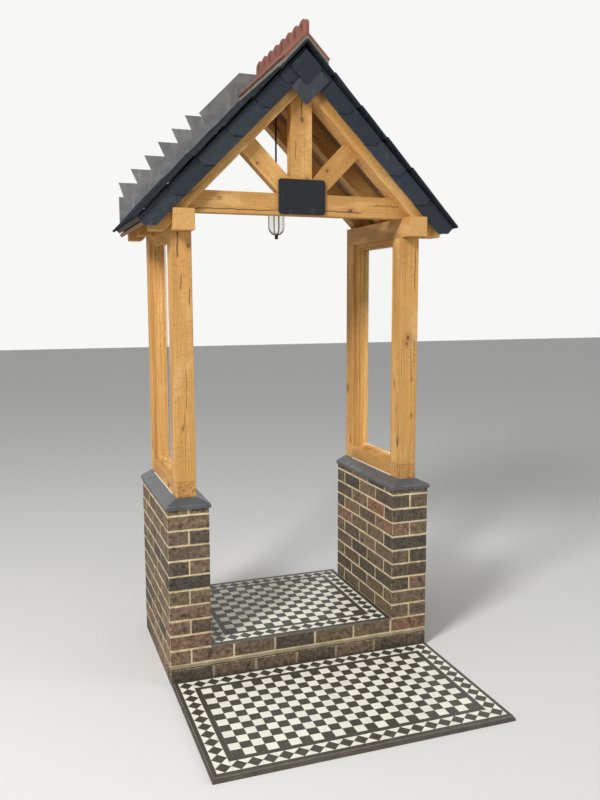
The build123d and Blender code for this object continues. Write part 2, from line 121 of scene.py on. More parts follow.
class Sheet:
    """Node tree of one material, or of the world, and the colour painted so far."""

    def __init__(self, name: str, world: bool = False) -> None:
        """Makes an empty tree.

        Args:
            name: Name of the material or world.
            world: Whether it's the world's.
        """
        self.block = (bpy.data.worlds if world else bpy.data.materials).new(name)
        self.block.use_nodes = True
        self.tree = self.block.node_tree
        self.tree.nodes.clear()
        self.colour: Feed = (1.0, 1.0, 1.0)

    def add(self, kind: str, settings: dict | None = None, inputs: dict | None = None,
            output: int | str = 0) -> Wire:
        """Adds a node.

        Args:
            kind: The node's type.
            settings: Its own settings, and a ramp's stops under "stops".
            inputs: Values or wires by socket.
            output: The socket to hand back.

        Returns:
            The wire of that output.
        """
        node = self.tree.nodes.new(kind)
        for key, value in (settings or {}).items():
            if key == "stops":
                self._stops(node.color_ramp, value)
            else:
                setattr(node, key, value)
        for key, value in (inputs or {}).items():
            socket = node.inputs[key]
            if isinstance(value, Wire):
                self.tree.links.new(value.socket, socket)
            elif isinstance(value, tuple) and len(value) == 3 and socket.type == "RGBA":
                socket.default_value = (*value, 1.0)
            else:
                socket.default_value = value
        return Wire(self, node.outputs[output])

    @staticmethod
    def _stops(ramp: ColorRamp, stops: Sequence[tuple[float, Colour]]) -> None:
        """Fills a colour ramp.

        Args:
            ramp: The ramp.
            stops: Its places and colours, in order.
        """
        while len(ramp.elements) < len(stops):
            ramp.elements.new(1.0)
        for element, (place, colour) in zip(ramp.elements, stops):
            element.position = place
            element.color = (*colour, 1.0)

    def place(self, turn: Colour = (0, 0, 0), shift: Colour = (0, 0, 0),
              mirrored: bool = False) -> Wire:
        """Object coordinates, moved and turned.

        Args:
            turn: Turn in degrees.
            shift: Shift before the turn, in metres.
            mirrored: Whether the left half takes the right half's point.

        Returns:
            The point as a vector.
        """
        point = self.add("ShaderNodeTexCoord", output="Object")
        if mirrored:
            point = self.add("ShaderNodeVectorMath", {"operation": "ABSOLUTE"}, {0: point})
        angles = tuple(math.radians(angle) for angle in turn)
        return self.add("ShaderNodeMapping", {"vector_type": "TEXTURE"},
                        {"Vector": point, "Location": shift, "Rotation": angles})

    def stretch(self, point: Wire, scale: Colour) -> Wire:
        """Scales a point along its axes."""
        return self.add("ShaderNodeVectorMath", {"operation": "MULTIPLY"}, {0: point, 1: scale})

    def length(self, point: Wire) -> Wire:
        """Length of a vector."""
        return self.add("ShaderNodeVectorMath", {"operation": "LENGTH"}, {0: point}, "Value")

    def axis(self, point: Wire, name: str) -> Wire:
        """One coordinate of a point, by its letter."""
        return self.add("ShaderNodeSeparateXYZ", {}, {0: point}, name)

    def noise(self, point: Wire, scale: float, detail: float = 3.0, rough: float = 0.5) -> Wire:
        """Noise from 0 to 1."""
        inputs = {"Vector": point, "Scale": scale, "Detail": detail, "Roughness": rough}
        return self.add("ShaderNodeTexNoise", {}, inputs)

    def cells(self, point: Wire, scale: float) -> Wire:
        """Distance to the middle of the nearest of many cells."""
        return self.add("ShaderNodeTexVoronoi", {}, {"Vector": point, "Scale": scale})

    def rings(self, point: Wire, scale: float, sway: float, fine: float = 1.0) -> Wire:
        """Growth rings round Z, by their number, their sway and how fine that is."""
        return self.add("ShaderNodeTexWave", {"wave_type": "RINGS", "rings_direction": "Z"},
                        dict(enumerate((point, scale, sway, 2.0, fine))))

    def span(self, value: Wire, low: float, high: float,
             out: tuple[float, float] = (0.0, 1.0)) -> Wire:
        """Smooth step of a value from low to high."""
        return self.add("ShaderNodeMapRange", {"interpolation_type": "SMOOTHSTEP"},
                        dict(enumerate((value, low, high, *out))))

    def fall(self, value: Wire, low: float, high: float) -> Wire:
        """Smooth step down, from 1 at low to 0 at high."""
        return self.span(value, low, high, (1.0, 0.0))

    def ramp(self, value: Wire, *stops: tuple[float, Colour]) -> Wire:
        """Colour ramp."""
        return self.add("ShaderNodeValToRGB", {"stops": stops}, {"Fac": value})

    def blend(self, share: Feed, first: Feed, second: Feed, way: str = "MIX") -> Wire:
        """Mixes two colours, with a share of the second."""
        settings = {"data_type": "RGBA", "blend_type": way, "clamp_factor": True}
        return self.add("ShaderNodeMix", settings, {0: share, 6: first, 7: second}, 2)

    def lay(self, share: Feed, colour: Feed) -> None:
        """Lays a share of a colour over what's painted so far."""
        self.colour = self.blend(share, self.colour, colour)

    def shade(self, light: Feed, share: float = 1.0) -> None:
        """Multiplies what's painted so far by a light."""
        self.colour = self.blend(share, self.colour, light, "MULTIPLY")

    def mark(self, name: str) -> Wire:
        """A number that the mesh carries on its faces."""
        return self.add("ShaderNodeAttribute", {"attribute_name": name}, {}, "Fac")

    def surface(self, roughness: Feed, height: Wire | None = None, relief: float = 0.0,
                **plain: float) -> Material:
        """Ends the sheet in a surface with what's painted on it.

        Args:
            roughness: Roughness.
            height: Relief from 0 to 1.
            relief: Depth of that relief in metres.
            plain: Other sockets' values, by name with _ for a space.

        Returns:
            The material.
        """
        inputs = {"Base Color": self.colour, "Roughness": roughness}
        inputs |= {key.replace("_", " "): value for key, value in plain.items()}
        if height is not None:
            bump = {"Distance": relief, "Height": height}
            inputs["Normal"] = self.add("ShaderNodeBump", {}, bump)
        return self.show(self.add("ShaderNodeBsdfPrincipled", {}, inputs))

    def show(self, shader: Wire, output: str = "ShaderNodeOutputMaterial") -> Material | World:
        """Wires a shader to the output.

        Args:
            shader: The shader.
            output: Type of the output node.

        Returns:
            The material or world.
        """
        node = self.tree.nodes.new(output)
        self.tree.links.new(shader.socket, node.inputs["Surface"])
        return self.block


# Finishes


class Grain(Enum):
    """Way the fibres run, as the turn that lays them along a texture's Z."""

    UPRIGHT = (0.0, 0.0, 0.0)
    ACROSS = (0.0, 90.0, 0.0)
    INWARD = (-90.0, 0.0, 0.0)
    RIGHT_SLOPE = (0.0, 135.0, 0.0)
    LEFT_SLOPE = (0.0, 45.0, 0.0)

    @property
    def along(self) -> Vector:
        """Direction of the fibres."""
        turn = Euler(tuple(math.radians(angle) for angle in self.value))
        return turn.to_matrix() @ Vector((0, 0, 1))


@dataclass(frozen=True)
class Knot:
    """A knot in a member's front face, in metres."""

    x: float
    z: float
    radius: float


@dataclass(frozen=True)
class Check:
    """A long drying check in a member's front face, in metres."""

    x: float
    z: float
    half_length: float
    width: float


@dataclass(frozen=True)
class Oak:
    """Sawn green oak: rings, fibres, knots, drying checks, saw marks and end grain."""

    grain: Grain
    heart: Colour
    tint: float = 0.5
    face: float = 0.0
    knots: tuple[Knot, ...] = ()
    checks: tuple[Check, ...] = ()
    stain_top: float = 0.0
    mirrored: bool = False

    def material(self) -> Material:
        """Makes the finish.

        Returns:
            The material.
        """
        sheet = Sheet(f"oak_{self.grain.name.lower()}")
        point = sheet.place(self.grain.value, self.heart, self.mirrored)
        slow = sheet.noise(sheet.stretch(point, (1, 1, 0.12)), 9.0, 2.0)
        rings = sheet.rings(sheet.stretch(point, (1, 1, 0.06)), 34.0, 5.0, 0.6)
        sheet.colour = sheet.ramp(rings, (0.0, (0.62, 0.325, 0.086)), (0.55, (0.69, 0.382, 0.110)),
                                  (1.0, (0.54, 0.272, 0.070)))
        sheet.shade(sheet.ramp(slow, (0.3, (0.70, 0.62, 0.52)), (0.52, (1.0, 1.0, 1.0)),
                               (0.8, (1.12, 1.10, 1.08))), 0.85)
        shade = 0.86 + 0.22 * self.tint
        sheet.shade((shade, shade * 0.99, shade * 0.97))
        fibre = sheet.noise(sheet.stretch(point, (1, 1, 0.05)), 420.0, 2.0, 0.6)
        sheet.lay(sheet.span(fibre, 0.48, 0.75) * 0.32, (0.36, 0.175, 0.048))
        straw = sheet.noise(sheet.stretch(point, (1, 1, 0.22)), 13.0, 3.0, 0.6)
        sheet.lay(sheet.span(straw, 0.50, 0.64) * 0.40, (0.80, 0.505, 0.200))
        fleck = sheet.noise(sheet.stretch(point, (1, 1, 0.5)), 120.0, 3.0, 0.6)
        sheet.lay(sheet.span(fleck, 0.58, 0.68) * 0.40, (0.28, 0.13, 0.036))
        saw = sheet.noise(sheet.stretch(point, (0.16, 0.16, 1)), 150.0, 2.0, 0.6)
        saw = sheet.span(saw, 0.46, 0.66) * sheet.span(sheet.noise(point, 4.5, 2.0), 0.38, 0.58)
        sheet.lay(saw * 0.36, (0.31, 0.150, 0.044))
        knot = self._knots(sheet, point)
        crack = self._checks(sheet, point, slow)
        if self.stain_top:
            self._stain(sheet, point)
        self._end_grain(sheet, point)
        height = fibre * 0.35 + saw * 0.35 - crack * 1.4 - knot * 0.3
        return sheet.surface(sheet.span(slow, 0.2, 0.8, (0.62, 0.78)), height, 0.0009)

    def _knots(self, sheet: Sheet, point: Wire) -> Wire:
        """Paints scattered small knots and the named ones.

        Args:
            sheet: The node sheet.
            point: Point along the grain.

        Returns:
            How much of the face is knot.
        """
        knot = sheet.fall(sheet.cells(sheet.stretch(point, (1, 1, 0.4)), 5.0), 0.03, 0.09)
        for named in self.knots:
            radius = named.radius
            near = sheet.place(self.grain.value, (named.x, self.face, named.z))
            reach = sheet.length(sheet.stretch(near, (1, 1, 0.62)))
            reach = reach + (sheet.noise(near, 60.0, 2.0) - 0.5) * (radius * 0.9)
            sheet.lay(sheet.fall(reach, radius, radius * 3.2) * 0.45, (0.36, 0.165, 0.05))
            knot = knot.most(sheet.fall(reach, radius * 0.55, radius))
        sheet.lay(knot * 0.82, (0.115, 0.050, 0.020))
        return knot

    def _checks(self, sheet: Sheet, point: Wire, slow: Wire) -> Wire:
        """Paints fine drying checks and the named long ones.

        Args:
            sheet: The node sheet.
            point: Point along the grain.
            slow: Slow variation, which gathers the fine checks.

        Returns:
            How much of the face is check.
        """
        crack = abs(sheet.noise(sheet.stretch(point, (1, 1, 0.035)), 22.0, 1.0) - 0.5)
        crack = sheet.fall(crack, 0.0, 0.006) * sheet.span(slow, 0.5, 0.62)
        for named in self.checks:
            near = sheet.place(self.grain.value, (named.x, self.face, named.z))
            wave = sheet.noise(sheet.stretch(near, (0.0, 0.0, 1.0)), 12.0, 3.0, 0.6) - 0.5
            off = abs(sheet.axis(near, "X") + wave * 0.022)
            half = named.half_length
            ends = sheet.fall(abs(sheet.axis(near, "Z")), half * 0.75, half)
            crack = crack.most(sheet.fall(off, named.width * 0.5, named.width) * ends)
        sheet.lay(crack * 0.85, (0.085, 0.040, 0.016))
        return crack

    def _stain(self, sheet: Sheet, point: Wire) -> None:
        """Paints the damp stain at the foot of a post.

        Args:
            sheet: The node sheet.
            point: Point along the grain.
        """
        top = self.stain_top
        rise = sheet.axis(sheet.place(), "Z") + sheet.noise(point, 18.0, 2.0) * 0.008
        spots = sheet.span(sheet.noise(point, 85.0, 4.0, 0.7), 0.46, 0.60)
        sheet.lay(sheet.fall(rise, top - 0.004, top) * spots * 0.62, (0.20, 0.085, 0.026))
        sheet.lay(sheet.fall(abs(rise - top), 0.001, 0.003) * 0.55, (0.16, 0.07, 0.022))

    def _end_grain(self, sheet: Sheet, point: Wire) -> None:
        """Paints rings and radial checks where the mesh marks a cut end.

        Args:
            sheet: The node sheet.
            point: Point along the grain.
        """
        flat = sheet.stretch(point, (1, 1, 0))
        around = sheet.add("ShaderNodeVectorMath", {"operation": "NORMALIZE"}, {0: flat})
        ray = sheet.fall(abs(sheet.noise(around, 1.5, 1.0) - 0.5), 0.0, 0.010)
        ray = ray * sheet.span(sheet.length(flat), 0.004, 0.012)
        end = sheet.blend(sheet.rings(flat, 90.0, 1.5) * 0.5, (0.64, 0.36, 0.115),
                          (0.50, 0.26, 0.075))
        sheet.lay(sheet.mark("pale"), sheet.blend(ray * 0.85, end, (0.20, 0.10, 0.04)))


@dataclass(frozen=True)
class Brick:
    """Multi-coloured stock brick, from brown to dark blue-grey."""

    name: str

    def material(self) -> Material:
        """Makes the finish.

        Returns:
            The material.
        """
        sheet = Sheet(self.name)
        point = sheet.place()
        sheet.colour = sheet.ramp(
            sheet.mark("tone"), (0.0, (0.072, 0.063, 0.054)), (0.14, (0.096, 0.078, 0.058)),
            (0.30, (0.126, 0.096, 0.062)), (0.50, (0.156, 0.110, 0.080)),
            (0.74, (0.178, 0.128, 0.077)), (0.93, (0.206, 0.133, 0.094)),
            (1.0, (0.27, 0.130, 0.073)))
        burnt = sheet.span(sheet.noise(point, 24.0, 5.0, 0.7), 0.54, 0.62)
        sheet.lay(burnt * 0.74, (0.044, 0.040, 0.035))
        cloud = sheet.noise(point, 55.0, 5.0, 0.75)
        sheet.shade(sheet.ramp(cloud, (0.32, (0.42, 0.42, 0.43)), (0.5, (1.0, 1.0, 1.0)),
                               (0.68, (1.95, 1.82, 1.60))))
        pits = sheet.fall(sheet.cells(point, 105.0), 0.14, 0.30)
        pits = pits * sheet.span(sheet.noise(point, 45.0, 1.0), 0.48, 0.56)
        sheet.lay(pits * 0.8, (0.030, 0.026, 0.024))
        grit = sheet.noise(point, 420.0, 3.0, 0.7)
        sheet.lay(sheet.span(grit, 0.55, 0.8) * 0.40, (0.42, 0.34, 0.24))
        smear = sheet.mark("worn") * sheet.span(sheet.noise(point, 70.0, 3.0, 0.7), 0.47, 0.56)
        sheet.lay(smear * 0.85, (0.62, 0.50, 0.29))
        return sheet.surface(sheet.span(cloud, 0.2, 0.8, (0.72, 0.9)),
                             cloud * 0.5 + grit * 0.4 - pits * 0.8, 0.0022,
                             Specular_IOR_Level=0.25)


@dataclass(frozen=True)
class Mortar:
    """Sandy mortar, with a dark crack along one bed where a height is given."""

    name: str
    pale: Colour
    dark: Colour
    crack: float = 0.0

    def material(self) -> Material:
        """Makes the finish.

        Returns:
            The material.
        """
        sheet = Sheet(self.name)
        point = sheet.place()
        cloud = sheet.noise(point, 14.0, 4.0, 0.65)
        sand = sheet.noise(point, 620.0, 2.0, 0.7)
        sheet.colour = sheet.ramp(cloud, (0.3, self.dark), (0.65, self.pale))
        sheet.lay(sheet.span(sand, 0.5, 0.75) * 0.35, (0.27, 0.21, 0.12))
        height = cloud * 0.5 + sand * 0.5
        if self.crack:
            rise = sheet.axis(point, "Z")
            splash = sheet.fall(rise + cloud * 0.010, 0.102, 0.109)
            sheet.lay(splash * 0.70, (0.20, 0.155, 0.098))
            off = abs(rise + (cloud - 0.5) * 0.012 - self.crack)
            open_bed = sheet.fall(off, 0.0015, 0.0040)
            sheet.lay(open_bed * 0.9, (0.035, 0.028, 0.020))
            height = height - open_bed * 2.0
        return sheet.surface(0.9, height, 0.0012)


@dataclass(frozen=True)
class FloorTile:
    """Unglazed floor tiles, dark or cream by the mesh's own mark."""

    name: str
    dark: Colour
    cream: Colour

    def material(self) -> Material:
        """Makes the finish.

        Returns:
            The material.
        """
        sheet = Sheet(self.name)
        point = sheet.place()
        cloud = sheet.noise(point, 9.0, 4.0, 0.6)
        speck = sheet.noise(point, 330.0, 2.0, 0.6)
        sheet.colour = sheet.blend(sheet.span(sheet.mark("pale"), 0.4, 0.6), self.dark, self.cream)
        tone = sheet.mark("tone")
        sheet.shade(sheet.ramp(tone, (0.0, (0.91, 0.91, 0.92)), (1.0, (1.03, 1.03, 1.01))))
        sheet.lay(sheet.span(cloud, 0.5, 0.85) * 0.14, (0.38, 0.34, 0.26))
        sheet.lay(sheet.span(speck, 0.6, 0.8) * 0.15, (0.30, 0.28, 0.24))
        return sheet.surface(sheet.span(cloud, 0.2, 0.8, (0.38, 0.62)),
                             speck * 0.4 + cloud * 0.6, 0.0004)


@dataclass(frozen=True)
class Slate:
    """Riven blue-grey slate."""

    name: str
    dark: Colour
    pale: Colour
    chipped: float = 0.7
    gloss: float = 0.22

    def material(self) -> Material:
        """Makes the finish.

        Returns:
            The material.
        """
        sheet = Sheet(self.name)
        point = sheet.place()
        cleft = sheet.noise(point, 34.0, 5.0, 0.62)
        sheet.colour = sheet.ramp(cleft, (0.25, self.dark), (0.8, self.pale))
        tone = sheet.mark("tone")
        sheet.shade(sheet.ramp(tone, (0.0, (0.70, 0.72, 0.76)), (1.0, (1.34, 1.28, 1.24))))
        chip = sheet.span(sheet.noise(point, 120.0, 2.0), 0.45, 0.62)
        sheet.lay(sheet.mark("worn") * chip * self.chipped, (0.17, 0.19, 0.21))
        streak = sheet.noise(sheet.stretch(point, (1, 1, 0.4)), 26.0, 5.0, 0.7)
        sheet.lay(sheet.span(streak, 0.56, 0.70) * 0.22, (0.10, 0.115, 0.13))
        height = cleft * 0.8 + sheet.noise(point, 260.0, 3.0, 0.6) * 0.2
        return sheet.surface(sheet.span(cleft, 0.2, 0.8, (0.50, 0.72)), height, 0.0030,
                             Specular_IOR_Level=self.gloss)


@dataclass(frozen=True)
class Stone:
    """Cast coping, concrete or terracotta: a cloudy body with grit, pits and painted shade in
    marked hollows.
    """

    name: str
    dark: Colour
    pale: Colour
    speck: Colour
    roughness: float
    relief: float

    def material(self) -> Material:
        """Makes the finish.

        Returns:
            The material.
        """
        sheet = Sheet(self.name)
        point = sheet.place()
        cloud = sheet.noise(point, 11.0, 5.0, 0.62)
        grit = sheet.noise(point, 380.0, 3.0, 0.65)
        pits = sheet.fall(sheet.cells(point, 95.0), 0.05, 0.16)
        sheet.colour = sheet.ramp(cloud, (0.3, self.dark), (0.7, self.pale))
        sheet.lay(sheet.span(grit, 0.56, 0.78) * 0.35, self.speck)
        sheet.lay(pits * 0.25, self.dark)
        # Paler eased edges: partly real scuffing of the arrises, partly a painted highlight along
        # them.
        sheet.lay(sheet.mark("worn") * sheet.span(cloud, 0.3, 0.7) * 0.55, self.speck)
        # Painted shade: faces marked as hollows, such as the ridge tiles' slots, go near black.
        sheet.lay(sheet.mark("pale") * 0.85, (0.035, 0.020, 0.016))
        height = cloud * 0.5 + grit * 0.3 - pits * 0.3
        return sheet.surface(self.roughness, height, self.relief)


@dataclass(frozen=True)
class Lead:
    """Sheet lead, dull and streaked."""

    name: str
    dark: Colour
    pale: Colour
    streak: Colour

    def material(self) -> Material:
        """Makes the finish.

        Returns:
            The material.
        """
        sheet = Sheet(self.name)
        point = sheet.place()
        cloud = sheet.noise(point, 13.0, 4.0, 0.6)
        streak = sheet.noise(sheet.stretch(point, (1, 1, 0.15)), 60.0, 2.0)
        sheet.colour = sheet.ramp(cloud, (0.3, self.dark), (0.7, self.pale))
        sheet.lay(sheet.span(streak, 0.55, 0.75) * 0.4, self.streak)
        return sheet.surface(sheet.span(cloud, 0.3, 0.7, (0.42, 0.62)), cloud + streak * 0.3,
                             0.002, Metallic=0.35)


@dataclass(frozen=True)
class Softwood:
    """Planed boards and battens, each with its own tone."""

    name: str
    dark: Colour
    pale: Colour
    grain: Grain

    def material(self) -> Material:
        """Makes the finish.

        Returns:
            The material.
        """
        sheet = Sheet(self.name)
        point = sheet.place(self.grain.value)
        bands = sheet.noise(sheet.stretch(point, (1, 1, 0.05)), 75.0, 3.0, 0.6)
        sheet.colour = sheet.ramp(bands, (0.35, self.pale), (0.68, self.dark))
        tone = sheet.mark("tone")
        sheet.shade(sheet.ramp(tone, (0.0, (0.85, 0.84, 0.82)), (1.0, (1.1, 1.08, 1.05))))
        return sheet.surface(0.68, bands, 0.0004)


@dataclass(frozen=True)
class Metal:
    """Painted or bare metal with a little wear."""

    name: str
    colour: Colour
    roughness: float
    metallic: float

    def material(self) -> Material:
        """Makes the finish.

        Returns:
            The material.
        """
        sheet = Sheet(self.name)
        cloud = sheet.noise(sheet.place(), 90.0, 3.0)
        sheet.colour = self.colour
        worn = tuple(min(1.0, channel * 1.5 + 0.02) for channel in self.colour)
        sheet.lay(sheet.span(cloud, 0.5, 0.8) * 0.5, worn)
        rough = sheet.span(cloud, 0.2, 0.8, (self.roughness, self.roughness + 0.15))
        return sheet.surface(rough, cloud, 0.0002, Metallic=self.metallic)


@dataclass(frozen=True)
class Glass:
    """Clear glass that lets lamps through."""

    name: str
    tint: Colour
    roughness: float = 0.0

    def material(self) -> Material:
        """Makes the finish.

        Returns:
            The material.
        """
        sheet = Sheet(self.name)
        clear = sheet.add("ShaderNodeBsdfPrincipled", {}, {
            "Base Color": self.tint, "Roughness": self.roughness, "IOR": 1.45,
            "Transmission Weight": 1.0})
        open_way = sheet.add("ShaderNodeBsdfTransparent", {}, {"Color": self.tint})
        lamp_ray = sheet.add("ShaderNodeLightPath", output="Is Shadow Ray")
        mixed = sheet.add("ShaderNodeMixShader", {}, {0: lamp_ray, 1: clear, 2: open_way})
        return sheet.show(mixed)


class Finish(Enum):
    """Finishes that several pieces share."""

    BRICK = Brick("stock_brick")
    MORTAR = Mortar("cream_mortar", (0.82, 0.68, 0.42), (0.50, 0.40, 0.23), 0.081)
    BEDDING = Mortar("ridge_mortar", (0.22, 0.21, 0.165), (0.13, 0.125, 0.10))
    GROUT = Mortar("grey_grout", (0.20, 0.19, 0.16), (0.13, 0.12, 0.10))
    SEALANT = Mortar("white_sealant", (0.74, 0.73, 0.69), (0.62, 0.61, 0.57))
    TILE = FloorTile("chequer_tile", (0.050, 0.047, 0.036), (0.95, 0.945, 0.82))
    SLATE = Slate("roof_slate", (0.018, 0.022, 0.027), (0.040, 0.046, 0.054), 0.15, 0.0)
    HUNG_SLATE = Slate("hung_slate", (0.016, 0.021, 0.030), (0.034, 0.041, 0.052))
    PLAQUE = Slate("plaque_slate", (0.016, 0.018, 0.020), (0.024, 0.027, 0.030), 0.2)
    COPING = Stone("coping_stone", (0.060, 0.063, 0.068), (0.100, 0.104, 0.110),
                   (0.30, 0.31, 0.32), 0.40, 0.0008)
    CONCRETE = Stone("bed_concrete", (0.070, 0.058, 0.045), (0.130, 0.110, 0.085),
                     (0.26, 0.23, 0.18), 0.9, 0.002)
    TERRACOTTA = Stone("terracotta", (0.155, 0.052, 0.034), (0.245, 0.088, 0.058),
                       (0.37, 0.20, 0.145), 0.82, 0.0012)
    LEAD = Lead("wall_lead", (0.150, 0.152, 0.155), (0.255, 0.255, 0.250), (0.38, 0.38, 0.37))
    # Painted shade: the lead under the ridge is much darker than the wall lead, for the shade that
    # falls there.
    DARK_LEAD = Lead("apex_lead", (0.022, 0.028, 0.033), (0.042, 0.050, 0.058), (0.08, 0.09, 0.10))
    BOARDS = Softwood("roof_boards", (0.19, 0.11, 0.052), (0.28, 0.175, 0.088), Grain.INWARD)
    BATTENS = Softwood("battens", (0.055, 0.040, 0.026), (0.095, 0.072, 0.046), Grain.INWARD)
    # Painted shade: the barge boards are near black, for the shadow behind the hung slates.
    BARGE = Softwood("barge_board", (0.012, 0.012, 0.013), (0.020, 0.020, 0.021),
                     Grain.RIGHT_SLOPE)
    DARK_METAL = Metal("dark_metal", (0.045, 0.038, 0.032), 0.38, 0.8)
    SCREW = Metal("black_screw", (0.03, 0.03, 0.032), 0.4, 0.6)
    PANE = Glass("pane_glass", (0.97, 0.985, 0.98))
    LAMP_GLASS = Glass("lamp_glass", (0.95, 0.95, 0.92), 0.02)


class Shelf:
    """Keeps each finish's material, so that it's made once."""

    def __init__(self) -> None:
        """Starts with no material."""
        self.made: dict[Finish | Oak, Material] = {}

    def get(self, finish: Finish | Oak) -> Material:
        """Finds or makes the material of a finish.

        Args:
            finish: The finish.

        Returns:
            Its material.
        """
        if finish not in self.made:
            maker = finish.value if isinstance(finish, Finish) else finish
            self.made[finish] = maker.material()
        return self.made[finish]


SHELF = Shelf()


# Shapes


@dataclass(frozen=True)
class Wear:
    """Rounding of edges over an angle, cuts in long ones, and a move of all corners in waves."""

    ease: float
    split: float
    move: float
    waves: float
    seed: float
    angle: float = 20.0


def put(name: str, data: ID) -> Object:
    """Puts a new object into the scene.

    Args:
        name: Its name.
        data: Its mesh, lamp or camera.

    Returns:
        The object.
    """
    thing = bpy.data.objects.new(name, data)
    bpy.context.scene.collection.objects.link(thing)
    return thing


class Shape:
    """One mesh in the making, with a tone for each solid in it."""

    def __init__(self, node: str | None = None, holed: bool = False) -> None:
        """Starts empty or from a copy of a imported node, merged.

        Args:
            node: The node to copy.
            holed: Whether its flat faces have holes, and so stay as triangles.
        """
        self.bm = bmesh.new()
        if node is not None:
            self.bm.from_mesh(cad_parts[node].data)
            bmesh.ops.remove_doubles(self.bm, verts=self.bm.verts, dist=TOUCH)
            if not holed:
                bmesh.ops.dissolve_limit(self.bm, angle_limit=FLAT, verts=self.bm.verts,
                                         edges=self.bm.edges)
        layers = self.bm.faces.layers.float
        self.tone, self.pale, self.worn = (layers.new(mark) for mark in ("tone", "pale", "worn"))

    def every(self) -> list:
        """All corners, edges and faces."""
        return self.bm.verts[:] + self.bm.edges[:] + self.bm.faces[:]

    def box(self, low: Sequence[float], high: Sequence[float], tone: float = 0.5,
            pale: float = 0.0, turn: Matrix | None = None) -> None:
        """Adds a box.

        Args:
            low: Lowest corner.
            high: Highest corner.
            tone: Its tone from 0 to 1.
            pale: A second mark.
            turn: Matrix that is applied after the box is placed.
        """
        low, high = Vector(low), Vector(high)
        matrix = Matrix.Translation((low + high) / 2) @ Matrix.Diagonal((*(high - low), 1.0))
        if turn is not None:
            matrix = turn @ matrix
        verts = bmesh.ops.create_cube(self.bm, size=1.0, matrix=matrix)["verts"]
        self.paint({face for vert in verts for face in vert.link_faces}, tone, pale)

    def paint(self, faces: set[BMFace], tone: float, pale: float) -> None:
        """Gives faces their marks."""
        for face in faces:
            face[self.tone], face[self.pale] = tone, pale

    def prism(self, outline: Sequence[Sequence[float]], along: Vector, tone: float = 0.5,
              pale: float = 0.0) -> list[BMVert]:
        """Adds a flat outline pushed along a vector.

        Args:
            outline: Its corners in order.
            along: The push.
            tone: Its tone.
            pale: A second mark.

        Returns:
            All its corners.
        """
        first = [self.bm.verts.new(point) for point in outline]
        face = self.bm.faces.new(first)
        pushed = bmesh.ops.extrude_face_region(self.bm, geom=[face], use_keep_orig=True)["geom"]
        far = [item for item in pushed if isinstance(item, BMVert)]
        bmesh.ops.translate(self.bm, verts=far, vec=along)
        faces = {item for vert in first + far for item in vert.link_faces}
        bmesh.ops.recalc_face_normals(self.bm, faces=list(faces))
        self.paint(faces, tone, pale)
        return first + far

    def ease(self, width: float, segments: int = 1, angle: float = 20.0) -> None:
        """Rounds every sharp edge.

        Args:
            width: Width of the rounding.
            segments: Its number of steps.
            angle: Edges sharper than this, in degrees.
        """
        limit = math.radians(angle)
        sharp = [e for e in self.bm.edges if e.is_manifold and e.calc_face_angle() > limit]
        made = bmesh.ops.bevel(self.bm, geom=sharp, offset=width, offset_type="OFFSET",
                               affect="EDGES", segments=segments, profile=0.5, material=-1,
                               clamp_overlap=True)
        for face in made["faces"]:
            face[self.worn] = 1.0

    def split(self, longest: float, most: int = 60) -> None:
        """Cuts long edges into equal parts.

        Args:
            longest: Length that an edge may have.
            most: Largest number of cuts in an edge.
        """
        cuts: dict[int, list[BMEdge]] = {}
        for edge in self.bm.edges:
            count = int(edge.calc_length() / longest)
            if count:
                cuts.setdefault(min(count, most), []).append(edge)
        for count, edges in cuts.items():
            live = [edge for edge in edges if edge.is_valid]
            bmesh.ops.subdivide_edges(self.bm, edges=live, cuts=count, use_grid_fill=True)

    def wear(self, wear: Wear) -> None:
        """Rounds the arrises and moves every corner a little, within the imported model's box.

        Args:
            wear: How far.
        """
        if wear.ease:
            self.ease(wear.ease, angle=wear.angle)
        self.split(wear.split)
        shift = NOISE_STEP * wear.seed
        for vert in self.bm.verts:
            moved = vert.co + noise.noise_vector(vert.co * wear.waves + shift) * wear.move
            vert.co = [min(max(c, low), high) for c, low, high in zip(moved, *CAD_BOX)]

    def mark_ends(self, along: Vector, least: float = 0.6) -> None:
        """Marks the faces that look along a direction, as cut ends.

        Args:
            along: The direction.
            least: How far a face looks along it at least, from 0 to 1.
        """
        self.bm.normal_update()
        for face in self.bm.faces:
            if abs(face.normal.dot(along)) > least:
                face[self.pale] = 1.0

    def mark_shaded_hollows(self, reach: float, skin: float = 0.1 * MM, side: float = 0.3) -> None:
        """Marks the faces that look at another face close by, as hollows that get painted shade.

        Args:
            reach: How close.
            skin: Distance from a face at which its look starts.
            side: How far a face may look sideways, from 0 to 1.
        """
        self.bm.normal_update()
        tree = BVHTree.FromBMesh(self.bm)
        for face in self.bm.faces:
            start = face.calc_center_median() + face.normal * skin
            if abs(face.normal.x) < side and tree.ray_cast(start, face.normal, reach)[0]:
                face[self.pale] = 1.0

    def groove(self, y: float, width: float, depth: float) -> None:
        """Cuts a V-groove round the mesh, as the joint between two lengths.

        Args:
            y: Where the groove's bottom lies.
            width: Its width.
            depth: Its depth.
        """
        for spot in (y - width / 2, y, y + width / 2):
            bmesh.ops.bisect_plane(self.bm, geom=self.every(), plane_co=(0, spot, 0),
                                   plane_no=(0, 1, 0))
        ring = [vert for vert in self.bm.verts if abs(vert.co.y - y) < TOUCH]
        middle = sum((vert.co for vert in ring), Vector()) / len(ring)
        for vert in ring:
            vert.co += (middle - vert.co).normalized() * depth

